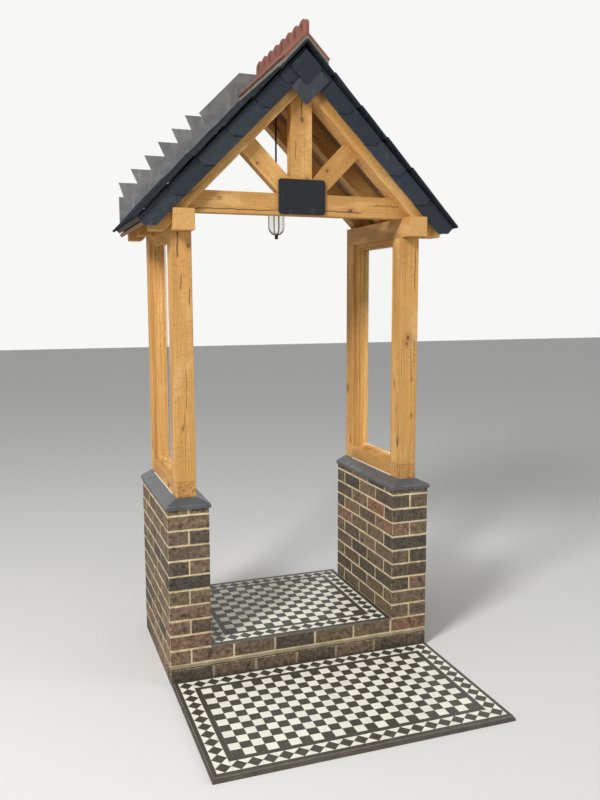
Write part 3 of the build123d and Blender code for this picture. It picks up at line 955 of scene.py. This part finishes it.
    def finish(self, name: str, finish: Finish | Oak, slot: str, replaces: Sequence[str] = (),
               smooth: bool = False) -> None:
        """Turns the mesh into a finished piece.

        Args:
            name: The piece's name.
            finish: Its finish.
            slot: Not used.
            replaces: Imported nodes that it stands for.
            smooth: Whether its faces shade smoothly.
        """
        mesh = bpy.data.meshes.new(name)
        many = [face for face in self.bm.faces if len(face.verts) > QUAD]
        bmesh.ops.triangulate(self.bm, faces=many)
        self.bm.to_mesh(mesh)
        self.bm.free()
        mesh.shade_smooth() if smooth else mesh.shade_flat()
        mesh.materials.append(SHELF.get(finish))
        piece = put(name, mesh)
        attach(piece, "root")
        if replaces:
            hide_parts(*replaces)
        LOG.info("%s: %d faces", name, len(mesh.polygons))


def dress(node: str, finish: Finish) -> None:
    """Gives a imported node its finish.

    Args:
        node: The node.
        finish: Its finish.
    """
    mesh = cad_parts[node].data
    mesh.materials.clear()
    mesh.materials.append(SHELF.get(finish))
    LOG.info("%s: dressed", node)


def slope_frame(side: Side) -> Matrix:
    """Frame of a roof slope: x down the slope, y inwards and z out of it, from the ridge.

    Args:
        side: Left or right.

    Returns:
        The matrix from slope to row coordinates.
    """
    down = Vector((side.sign * math.cos(SLOPE), 0.0, -math.sin(SLOPE)))
    out = Vector((side.sign * math.sin(SLOPE), 0.0, math.cos(SLOPE)))
    turn = Matrix((down, Vector((0.0, 1.0, 0.0)), out)).transposed().to_4x4()
    return Matrix.Translation((0.0, 0.0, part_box("right_roof_slates")[1].z)) @ turn


# Masonry


@dataclass
class Brickwork:
    """Bricks laid one by one over a mortar core."""

    brick: float = 212 * MM
    joint: float = 10 * MM
    course: float = 77 * MM
    courses: int = 11
    foot: tuple[float, float] = (6 * MM, 78 * MM)
    first_bed: float = 33 * MM
    top_joint: float = 1 * MM
    riser_courses: int = 2
    wide_joint: float = 12.5 * MM
    set_back: float = 1.5 * MM
    core_back: float = 3.0 * MM
    tuck: float = 12 * MM
    sway: float = 0.6 * MM
    spread: float = 0.9 * MM
    wall_wear: Wear = Wear(2.0 * MM, 75 * MM, 1.1 * MM, 38.0, 2.0)
    step_wear: Wear = Wear(2.0 * MM, 75 * MM, 1.1 * MM, 38.0, 5.0)
    core_wear: Wear = Wear(0.0, 30 * MM, 1.2 * MM, 55.0, 7.0)
    seed: int = 5

    def build(self) -> None:
        """Builds both dwarf walls and the step."""
        self.dice = random.Random(self.seed)
        for side in (Side.LEFT, Side.RIGHT):
            self._wall(side)
        self._step()

    @property
    def leaf(self) -> float:
        """Thickness of one leaf, a header's width."""
        return (self.brick - self.joint) / 2

    def _beds(self, top: float) -> list[tuple[int, float, float]]:
        """Lists the courses, the lowest on the ground and the last cut under the coping.

        Args:
            top: Height of the brickwork.

        Returns:
            Number, bottom and top of each.
        """
        rows = [(1, *self.foot)]
        for number in range(2, self.courses + 2):
            low = self.first_bed + (number - 1) * self.course
            rows.append((number, low, min(low + self.course - self.joint, top)))
        return [row for row in rows if row[2] > row[1]]

    def _brick(self, low: Sequence[float], high: Sequence[float], axis: int = 0) -> None:
        """Lays one brick, a little out of true and over its joints.

        Args:
            low: Lowest corner.
            high: Highest corner.
            axis: Axis that it lies along, 0 for X and 1 for Y.
        """
        sway = [self.dice.uniform(-self.sway, self.sway) for _ in range(3)]
        grow = (0.0, self.spread, self.spread) if axis else (self.spread, 0.0, self.spread)
        self.shape.box([a + s - g for a, s, g in zip(low, sway, grow)],
                       [a + s + g for a, s, g in zip(high, sway, grow)], self.dice.random())

    def _run(self, low: Sequence[float], high: Sequence[float], first: float, axis: int = 0,
             joint: float | None = None) -> None:
        """Lays a row of bricks, which ends in a longer brick rather than in a sliver along Y.

        Args:
            low: Lowest corner of the row.
            high: Its highest corner.
            first: Length of its first brick.
            axis: Axis that it runs along, 0 for X and 1 for Y.
            joint: Width of its cross joints, if not the usual one.
        """
        low, high, length, end = list(low), list(high), first, high[axis]
        while low[axis] < end - self.joint:
            stop = min(low[axis] + length, end)
            if axis and end - stop < 2 * self.joint:
                stop = end
            high[axis] = stop
            self._brick(low, high, axis)
            low[axis], length = stop + (joint or self.joint), self.brick

    def _wall(self, side: Side) -> None:
        """Builds one dwarf wall.

        Args:
            side: Left or right.
        """
        node = f"{side}_dwarf_wall"
        low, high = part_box(node)
        self.shape = Shape()
        left, right = low.x + self.set_back, high.x - self.set_back
        front, back = low.y + self.set_back, high.y - self.set_back
        inner = int(side is Side.LEFT)
        behind = front + self.leaf + self.joint
        for number, bottom, top in self._beds(high.z - self.top_joint):
            headed = number % 2 == inner
            riser = number <= self.riser_courses
            for leaf, x in enumerate((left, right - self.leaf)):
                cut = riser and leaf == inner
                start = behind if headed or cut else front
                first = self.leaf if cut and not headed else self.brick
                self._run((x, start, bottom), (x + self.leaf, back, top), first, 1)
            if headed and not riser:
                self._brick((left, front, bottom), (right, front + self.leaf, top))
        self.shape.wear(self.wall_wear)
        self.shape.finish(f"{side}_wall_bricks", Finish.BRICK, "brick")
        self._core(node, f"{side}_wall_mortar")

    def _core(self, node: str, name: str, tuck: float = 0.0) -> None:
        """Fills the joints of a node with mortar.

        Args:
            node: The node that the mortar stands for.
            name: The mortar's name.
            tuck: How far it reaches past the node's left and right.
        """
        low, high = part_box(node)
        back = self.core_back
        shape = Shape()
        shape.box((low.x + back - tuck, low.y + back, low.z),
                  (high.x - back + tuck, high.y - back, high.z))
        shape.wear(self.core_wear)
        for vert in shape.bm.verts:
            vert.co.z = min(max(vert.co.z, low.z), high.z)
        shape.finish(name, Finish.MORTAR, "mortar", [node])

    def _step(self) -> None:
        """Builds the step's riser, through the piers' feet, and its back."""
        low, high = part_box("step_base")
        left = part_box("left_dwarf_wall")[0].x + self.set_back
        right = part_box("right_dwarf_wall")[1].x - self.set_back
        front, back = low.y + self.set_back, high.y - self.set_back
        self.shape = Shape()
        for number, bottom, top in self._beds(high.z)[:self.riser_courses]:
            first = self.brick if number % 2 else self.leaf
            joint = self.wide_joint if number == 1 else self.joint
            self._run((left, front, bottom), (right, front + self.leaf, top), first, 0, joint)
            self._run((low.x + self.set_back, back - self.leaf, bottom),
                      (high.x - self.set_back, back, top), first)
        self.shape.wear(self.step_wear)
        self.shape.finish("step_bricks", Finish.BRICK, "brick")
        self._core("step_base", "step_mortar", self.tuck)


@dataclass
class ChequerFloor:
    """Chequer of square tiles in a border of strips and diamonds."""

    name: str
    columns: int
    rows: int
    across: int
    down: int
    pitch: float = 51.6 * MM
    strip: float = 25 * MM
    band: float = 68 * MM
    gap: float = 1.6 * MM
    tip_gap: float = 2.08 * MM
    trim: float = 0.4 * MM
    thick: float = 8 * MM
    sink: float = 0.3 * MM
    sway: float = 0.2 * MM
    ease: float = 0.7 * MM
    grout_sink: float = 1.0 * MM
    strip_tiles: int = 3

    def build(self) -> None:
        """Builds the tiles and their grout."""
        self.dice = random.Random(self.columns)
        self.shape = Shape()
        node = f"{self.name}_tiles"
        low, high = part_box(node)
        self.middle = (low + high) / 2
        self.top = high.z - self.sink
        half = Vector((self.columns, self.rows)) * (self.pitch / 2)
        for i in range(self.columns):
            for j in range(self.rows):
                corner = Vector((i, j)) * self.pitch - half
                self._tile(corner, corner + Vector((self.pitch,) * 2), (i + j) % 2)
        strip, band = Vector((self.strip,) * 2), Vector((self.band,) * 2)
        outer = half + strip + band
        self._ring(half, half + strip)
        self._ring(outer, [min(a, b) for a, b in zip(outer + strip, high - self.middle)])
        self._band(half + strip, outer)
        self.shape.ease(self.ease)
        self.shape.finish(f"{self.name}_chequer", Finish.TILE, "tile")
        grout = Shape()
        grout.box(low, (high.x, high.y, self.top - self.grout_sink))
        grout.ease(self.grout_sink)
        grout.finish(f"{self.name}_grout", Finish.GROUT, "concrete", [node])

    def _tile(self, low: Sequence[float], high: Sequence[float], pale: int) -> None:
        """Lays one tile with its joint around it.

        Args:
            low: Lowest corner from the floor's middle.
            high: Highest corner.
            pale: 1 for a cream tile.
        """
        x, y, gap = self.middle.x, self.middle.y, self.gap / 2
        rise = self.dice.uniform(-self.sway, self.sway)
        self.shape.box((x + low[0] + gap, y + low[1] + gap, self.top - self.thick),
                       (x + high[0] - gap, y + high[1] - gap, self.top + rise),
                       self.dice.random(), pale)

    def _ring(self, inner: Sequence[float], outer: Sequence[float]) -> None:
        """Lays a ring of dark strip tiles between two rectangles.

        Args:
            inner: Half width and depth of the inner one.
            outer: Half width and depth of the outer one.
        """
        for sign in (-1, 1):
            for axis in (0, 1):
                reach = inner[1] if axis else outer[0]
                count = max(1, round(2 * reach / (self.strip_tiles * self.pitch)))
                sides = sorted((sign * inner[1 - axis], sign * outer[1 - axis]))
                for n in range(count):
                    ends = [reach * (2 * m / count - 1) for m in (n, n + 1)]
                    spans = (sides, ends) if axis else (ends, sides)
                    self._tile(*zip(*spans), 0)

    def _band(self, inner: Vector, outer: Vector) -> None:
        """Lays the band of dark diamonds and pale triangles.

        Args:
            inner: Half width and depth of its inner edge.
            outer: Half width and depth of its outer edge.
        """
        centre = (inner + outer) / 2
        wide, deep = 2 * centre.x / (self.across - 1), 2 * centre.y / (self.down - 1)
        for sign in (-1, 1):
            for n in range(self.across):
                width = self.band if n in (0, self.across - 1) else wide
                self._diamond(n * wide - centre.x, sign * centre.y, width, self.band)
            for n in range(1, self.down - 1):
                self._diamond(sign * centre.x, n * deep - centre.y, self.band, deep)

    def _diamond(self, x: float, y: float, width: float, depth: float) -> None:
        """Lays one dark diamond and the four pale corners round it.

        Args:
            x: Its middle from the floor's middle.
            y: The same along Y.
            width: Size of its field along X.
            depth: Size of its field along Y.
        """
        x, y, z = x + self.middle.x, y + self.middle.y, self.top - self.thick
        a, b, gap, tip, trim = width / 2, depth / 2, self.gap, self.tip_gap, self.trim
        rise = Vector((0, 0, self.thick))
        points = [(x + a - gap, y, z), (x, y + b - gap, z), (x - a + gap, y, z),
                  (x, y - b + gap, z)]
        self.shape.prism(points, rise, self.dice.random())
        for right in (-1, 1):
            for up in (-1, 1):
                points = [(x + right * (u - trim), y + up * (v - trim), z)
                          for u, v in ((a, b), (a, tip), (tip, b))]
                self.shape.prism(points, rise, self.dice.random(), 1.0)


@dataclass
class Coping:
    """Dark coping stones on the dwarf walls, with the joint between their lengths."""

    joint_y: float = 600 * MM
    joint: float = 5 * MM
    depth: float = 4 * MM
    ease: float = 1.6 * MM
    sharp: float = 8.0

    def build(self) -> None:
        """Builds both copings."""
        for side in Side:
            node = f"{side}_coping"
            shape = Shape(node)
            shape.ease(self.ease, 2, self.sharp)
            shape.groove(self.joint_y, self.joint, self.depth)
            shape.finish(f"{side}_coping_stone", Finish.COPING, "coping", [node])


# Timber


MARKS = {
    "king_post": ((Knot(0.003, 2.805, 0.013), Knot(0.030, 2.52, 0.006)),
                  (Check(0.003, 2.885, 0.070, 0.0042), Check(-0.030, 2.66, 0.050, 0.0023))),
    "left_strut": ((Knot(-0.230, 2.586, 0.007),), ()),
    "right_strut": ((Knot(0.136, 2.567, 0.009),), ()),
    "tie_beam": ((Knot(0.263, 2.375, 0.012), Knot(-0.42, 2.415, 0.005)),
                 (Check(-0.340, 2.362, 0.240, 0.0028), Check(0.190, 2.368, 0.160, 0.0034),
                  Check(0.500, 2.405, 0.120, 0.0023))),
    "left_front_post": ((Knot(-0.578, 2.182, 0.009),),
                        (Check(-0.628, 2.190, 0.070, 0.0046), Check(-0.615, 2.010, 0.040, 0.0027),
                         Check(-0.575, 1.940, 0.045, 0.0027), Check(-0.600, 1.500, 0.110, 0.0019))),
    "right_front_post": ((Knot(0.604, 1.722, 0.012), Knot(0.597, 1.690, 0.007),
                          Knot(0.630, 1.300, 0.006)), (Check(0.640, 2.080, 0.120, 0.0027),)),
    "right_front_rafter": ((Knot(0.30, 2.80, 0.010),), ()),
    "left_front_rafter": ((Knot(-0.45, 2.64, 0.009),), ()),
}


@dataclass
class OakFrame:
    """Posts, rails, plates, truss and rafters."""

    ease: float = 2.0 * MM
    reach: float = 60 * MM
    stain: float = 82 * MM
    seed: int = 11

    def build(self) -> None:
        """Dresses every oak piece with its own grain."""
        self.dice = random.Random(self.seed)
        self.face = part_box("tie_beam")[0].y
        self.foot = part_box("right_bottom_rail")[0].z
        slopes = (Grain.RIGHT_SLOPE, Grain.LEFT_SLOPE)
        for side in Side:
            slope, other = slopes[::side.sign]
            for name, grain in (("front_post", Grain.UPRIGHT), ("wall_post", Grain.UPRIGHT),
                                ("bottom_rail", Grain.INWARD), ("wall_plate", Grain.INWARD),
                                ("front_rafter", slope), ("strut", other)):
                self._piece(f"{side}_{name}", grain)
        for name, grain in (("tie_beam", Grain.ACROSS), ("king_post", Grain.UPRIGHT),
                            ("middle_rafters", slopes[0]), ("wall_rafters", slopes[0]),
                            ("ridge_board", Grain.INWARD)):
            self._piece(name, grain)

    def _piece(self, node: str, grain: Grain) -> None:
        """Eases one member's arrises, marks its cut ends and gives it oak with its own heart.

        Args:
            node: The member, or a pair of rafters that mirror each other.
            grain: Way its fibres run, in a pair those of the right one.
        """
        pair = node.endswith("_rafters")
        low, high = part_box(node)
        middle = (low + high) / 2
        if pair:
            middle.x = high.x / 2
        heart = tuple(round(c + self.dice.uniform(-self.reach, self.reach), DIGITS)
                      for c in middle)
        shape = Shape(node)
        if not pair:
            shape.mark_ends(grain.along)
        shape.ease(self.ease, 2)
        knots, checks = MARKS.get(node, ((), ()))
        stain_top = self.foot + self.stain if node.endswith("front_post") else 0.0
        oak = Oak(grain, heart, self.dice.random(), self.face, knots, checks, stain_top, pair)
        shape.finish(f"{node}_oak", oak, "oak", [node])


@dataclass
class SideWindows:
    """Fixed windows: frame, pane, beads and the sealant under the rail."""

    ease: float = 1.2 * MM
    bead: float = 4 * MM
    heart: Colour = (0.05, 0.3, 1.6)
    tint: float = 0.4

    def build(self) -> None:
        """Builds both windows."""
        for side in Side:
            low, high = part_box(f"{side}_window_frame")
            heart = (round((low.x + high.x) / 2 + self.heart[0], DIGITS), *self.heart[1:])
            for node in (f"{side}_window_frame", f"{side}_glazing_beads"):
                shape = Shape(node)
                shape.ease(self.ease)
                shape.finish(f"{node}_oak", Oak(Grain.UPRIGHT, heart, self.tint), "oak", [node])
            dress(f"{side}_window_glass", Finish.PANE)
            self._seal(side)

    def _seal(self, side: Side) -> None:
        """Runs a bead of sealant along both sides of a rail's foot.

        Args:
            side: Left or right.
        """
        low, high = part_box(f"{side}_bottom_rail")
        shape = Shape()
        for x, way in ((low.x, -self.bead), (high.x, self.bead)):
            corner = ((x, low.y, low.z), (x + way, low.y, low.z), (x, low.y, low.z + self.bead))
            shape.prism(corner, Vector((0.0, high.y - low.y, 0.0)))
        shape.finish(f"{side}_rail_sealant", Finish.SEALANT, "mortar")


# Roof


@dataclass
class SlateRoof:
    """Roof slates in lapped courses on battens and boards."""

    gauge: float = 201 * MM
    length: float = 400 * MM
    width: float = 262 * MM
    thick: float = 5.5 * MM
    gap: float = 3.0 * MM
    lift: float = 6.0 * MM
    sway: float = 1.0 * MM
    narrowest: float = 20 * MM
    under_tone: float = 0.4
    wear: Wear = Wear(0.9 * MM, 60 * MM, 0.9 * MM, 45.0, 3.0)
    board: float = 118 * MM
    board_depth: float = 43 * MM
    board_thick: float = 18 * MM
    board_gap: float = 0.4 * MM
    board_ease: float = 2.0 * MM
    board_least: float = 10 * MM
    seed: int = 21

    def build(self) -> None:
        """Builds both slopes."""
        self.dice = random.Random(self.seed)
        for side in Side:
            self._slates(side)
            self._boards(side)
        dress("roof_battens", Finish.BATTENS)

    def _slates(self, side: Side) -> None:
        """Lays one slope's slates.

        Args:
            side: Left or right.
        """
        node = f"{side}_roof_slates"
        low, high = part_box(node)
        place = slope_frame(side)
        tilt = Matrix.Rotation(math.atan(self.lift / self.gauge), 4, "Y")
        tail = total = (high.x - low.x) / math.cos(SLOPE)
        shape = Shape()
        number = 0
        while tail > self.gauge / 2:
            length = min(self.length, tail + self.lift)
            turn = place @ Matrix.Translation((tail, 0, 0)) @ tilt
            y, width = low.y, self.width if number % 2 else self.width / 2
            while y < high.y - self.narrowest:
                stop = min(y + width, high.y)
                sway = self.dice.uniform(-self.sway, self.sway)
                shape.box((-length, y + self.gap / 2, -self.thick), (sway, stop - self.gap / 2, 0),
                          self.dice.random(), 0.0, turn)
                y, width = stop, self.width
            if number == 0:
                turn = place @ Matrix.Translation((total, 0, -self.lift)) @ tilt
                shape.box((-self.gauge, low.y, -self.thick), (-self.sway, high.y, 0),
                          self.under_tone, 0.0, turn)
            tail -= self.gauge
            number += 1
        shape.wear(self.wear)
        shape.finish(f"{side}_slating", Finish.SLATE, "slate", [node])

    def _boards(self, side: Side) -> None:
        """Lays one slope's boards along the roof.

        Args:
            side: Left or right.
        """
        node = f"{side}_roof_boarding"
        low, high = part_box(node)
        depth, thick, gap = self.board_depth, self.board_thick, self.board_gap
        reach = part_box("right_roof_boarding")[1].x
        tail = (reach + depth * math.sin(SLOPE)) / math.cos(SLOPE)
        shape = Shape()
        while tail > depth:
            head = max(tail - self.board, thick + depth)
            if tail - head > self.board_least:
                shape.box((head + gap, low.y, -depth - thick), (tail - gap, high.y, -depth),
                          self.dice.random(), 0.0, slope_frame(side))
            tail -= self.board
        shape.ease(self.board_ease)
        shape.finish(f"{side}_boards", Finish.BOARDS, "pale_timber", [node])


@dataclass
class Verge:
    """Hung slates on the bargeboards, and the slate and lead under the ridge."""

    gauge: float = 201 * MM
    lap: float = 45 * MM
    top_tail: float = 208 * MM
    thick: float = 6 * MM
    upper: float = 18.0 * MM
    lower: float = 102 * MM
    clip: float = 40 * MM
    end_setback: float = 11.0 * MM
    lead_ease: float = 0.8 * MM
    hung_wear: Wear = Wear(0.9 * MM, 22 * MM, 0.8 * MM, 55.0, 4.0, 30.0)
    apex_wear: Wear = Wear(1.0 * MM, 18 * MM, 0.8 * MM, 60.0, 2.0)
    seed: int = 31

    def build(self) -> None:
        """Builds both verges."""
        self.dice = random.Random(self.seed)
        for side in Side:
            self._hung(side)
            dress(f"{side}_barge_board", Finish.BARGE)
        slate = Shape("apex_slate")
        slate.wear(self.apex_wear)
        slate.finish("apex_slate_riven", Finish.HUNG_SLATE, "slate", ["apex_slate"])
        lead = Shape("apex_lead")
        lead.ease(self.lead_ease)
        lead.finish("apex_lead_sheet", Finish.DARK_LEAD, "lead", ["apex_lead"])

    def _hung(self, side: Side) -> None:
        """Hangs one verge's slates.

        Args:
            side: Left or right.
        """
        node = f"{side}_barge_slates"
        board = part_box(f"{side}_barge_board")[0].y
        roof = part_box("right_roof_slates")
        tails = [self.top_tail]
        tail = (roof[1].x - roof[0].x) / math.cos(SLOPE) - self.end_setback
        while tail > self.top_tail + self.lap:
            tails.append(tail)
            tail -= self.gauge
        tilt = Matrix.Rotation(-math.atan(self.thick / self.gauge), 4, "Z")
        length = self.gauge + self.lap
        outline = [(0, 0, -self.upper), (length, 0, -self.upper),
                   (length, 0, -self.lower + self.clip), (length - self.clip, 0, -self.lower),
                   (0, 0, -self.lower)]
        shape = Shape()
        for tail in tails:
            turn = slope_frame(side) @ Matrix.Translation((tail - length, board, 0)) @ tilt
            verts = shape.prism(outline, Vector((0, -self.thick, 0)), self.dice.random())
            bmesh.ops.transform(shape.bm, matrix=turn, verts=verts)
        cut = bmesh.ops.bisect_plane(shape.bm, geom=shape.every(), plane_co=(0, 0, 0),
                                     plane_no=(-side.sign, 0, 0), clear_outer=True)
        rim = [item for item in cut["geom_cut"] if isinstance(item, BMEdge)]
        bmesh.ops.holes_fill(shape.bm, edges=rim)
        bmesh.ops.recalc_face_normals(shape.bm, faces=shape.bm.faces)
        shape.wear(self.hung_wear)
        shape.finish(f"{side}_hung_slates", Finish.HUNG_SLATE, "slate", [node])


@dataclass
class Ridge:
    """Crested ridge tiles on their mortar, and the stepped lead with its saddle."""

    ease: float = 1.4 * MM
    sharp: float = 30.0
    hollow: float = 40 * MM
    lead_ease: float = 0.8 * MM

    def build(self) -> None:
        """Builds ridge and lead."""
        for node in ("front_ridge_tile", "rear_ridge_tile"):
            shape = Shape(node, holed=True)
            # Marks the slots and other hollows of each tile for painted shade.
            shape.mark_shaded_hollows(self.hollow)
            shape.ease(self.ease, 1, self.sharp)
            shape.finish(f"{node}_clay", Finish.TERRACOTTA, "terracotta", [node])
        dress("ridge_bedding", Finish.BEDDING)
        for node in ("right_wall_flashing", "left_wall_flashing", "ridge_saddle"):
            shape = Shape(node)
            shape.ease(self.lead_ease)
            shape.finish(f"{node}_sheet", Finish.LEAD, "lead", [node])


# Fittings


@dataclass
class Fittings:
    """Bare plaque with its screws, and the pendant light."""

    ease: float = 1.0 * MM
    sharp: float = 40.0
    screw_x: float = 107 * MM
    screw_radius: float = 4.5 * MM
    screw_rise: float = 0.45

    def build(self) -> None:
        """Builds the plaque and dresses the light."""
        low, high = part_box("name_plaque")
        shape = Shape("name_plaque")
        shape.ease(self.ease, 1, self.sharp)
        shape.finish("plaque_slate", Finish.PLAQUE, "slate", ["name_plaque"])
        screws = Shape()
        for x in (-self.screw_x, self.screw_x):
            spot = Matrix.Translation((x, low.y, (low.z + high.z) / 2))
            flat = Matrix.Diagonal((1, self.screw_rise, 1, 1))
            bmesh.ops.create_uvsphere(screws.bm, u_segments=16, v_segments=8,
                                      radius=self.screw_radius, matrix=spot @ flat)
        screws.finish("plaque_screws", Finish.SCREW, "dark_metal", smooth=True)
        dress("lantern_rod", Finish.DARK_METAL)
        dress("lantern_cage", Finish.DARK_METAL)
        dress("lantern_glass", Finish.LAMP_GLASS)


# Studio


@dataclass(frozen=True)
class Lamp:
    """A soft round lamp."""

    name: str
    spot: Colour
    size: float
    power: float


@dataclass
class Studio:
    """Camera at the photo's place, pale floor and soft light."""

    eye: Colour = (-1.3754, -3.7554, 1.9189)
    yaw: float = 19.747
    pitch: float = 7.12
    roll: float = 0.144
    focal: float = 35.63
    sensor: float = 36.0
    floor_size: float = 30.0
    floor_colour: Colour = (0.80, 0.80, 0.79)
    floor_roughness: float = 0.9
    lamps: tuple[Lamp, ...] = (Lamp("key", (-5.2, -3.6, 6.0), 2.0, 540.0),
                               Lamp("fill", (4.2, -3.2, 3.0), 3.2, 55.0))
    aim: Colour = (0.0, 0.0, 1.4)
    ambient: float = 0.34
    backdrop: Colour = (0.93, 0.93, 0.92)

    def build(self) -> None:
        """Sets up camera, floor, lamps and world."""
        self._camera()
        self._floor()
        for lamp in self.lamps:
            self._lamp(lamp)
        self._world()
        bpy.context.scene.view_settings.view_transform = "Standard"

    def _camera(self) -> None:
        """Places the camera."""
        data = bpy.data.cameras.new("camera")
        data.lens = self.focal
        data.sensor_width = self.sensor
        camera = put("camera", data)
        camera.location = self.eye
        turn = Matrix.Identity(3)
        for angle, axis in ((-self.yaw, "Z"), (-self.pitch, "X"), (self.roll, "Y"), (90.0, "X")):
            turn @= Matrix.Rotation(math.radians(angle), 3, axis)
        camera.rotation_euler = turn.to_euler()
        bpy.context.scene.camera = camera

    def _floor(self) -> None:
        """Lays a large pale floor."""
        mesh = bpy.data.meshes.new("floor")
        bm = bmesh.new()
        bmesh.ops.create_grid(bm, x_segments=1, y_segments=1, size=self.floor_size)
        bm.to_mesh(mesh)
        bm.free()
        sheet = Sheet("pale_floor")
        sheet.colour = self.floor_colour
        mesh.materials.append(sheet.surface(self.floor_roughness))
        floor = put("floor", mesh)

    def _lamp(self, lamp: Lamp) -> None:
        """Hangs a lamp that faces the porch and doesn't show through glass.

        Args:
            lamp: The lamp.
        """
        data = bpy.data.lights.new(lamp.name, "AREA")
        data.shape = "DISK"
        data.size = lamp.size
        data.energy = lamp.power
        hung = put(lamp.name, data)
        hung.visible_transmission = False
        hung.location = lamp.spot
        aim = Vector(self.aim) - Vector(lamp.spot)
        hung.rotation_euler = aim.to_track_quat("-Z", "Y").to_euler()

    def _world(self) -> None:
        """Lights the scene evenly, with white behind it, in gloss and through glass."""
        sheet = Sheet("studio", world=True)
        even, white = (
            sheet.add("ShaderNodeBackground", {}, {"Color": colour, "Strength": strength})
            for colour, strength in (((1.0, 1.0, 1.0), self.ambient), (self.backdrop, 1.0)))
        camera, gloss, through = (sheet.add("ShaderNodeLightPath", output=f"Is {kind} Ray")
                                  for kind in ("Camera", "Glossy", "Transmission"))
        seen = camera.most(gloss).most(through)
        mixed = sheet.add("ShaderNodeMixShader", {}, {0: seen, 1: even, 2: white})
        bpy.context.scene.world = sheet.show(mixed, "ShaderNodeOutputWorld")


def main() -> None:
    """Builds every sub-assembly in order."""
    logging.basicConfig(level=logging.INFO, format="%(message)s")
    noise.seed_set(NOISE_SEED)
    Studio().build()
    Brickwork().build()
    ChequerFloor("step", columns=15, rows=12, across=14, down=12).build()
    ChequerFloor("landing", columns=23, rows=12, across=20, down=12).build()
    dress("landing_bed", Finish.CONCRETE)
    Coping().build()
    OakFrame().build()
    SideWindows().build()
    SlateRoof().build()
    Verge().build()
    Ridge().build()
    Fittings().build()


if __name__ == "__main__":
    main()
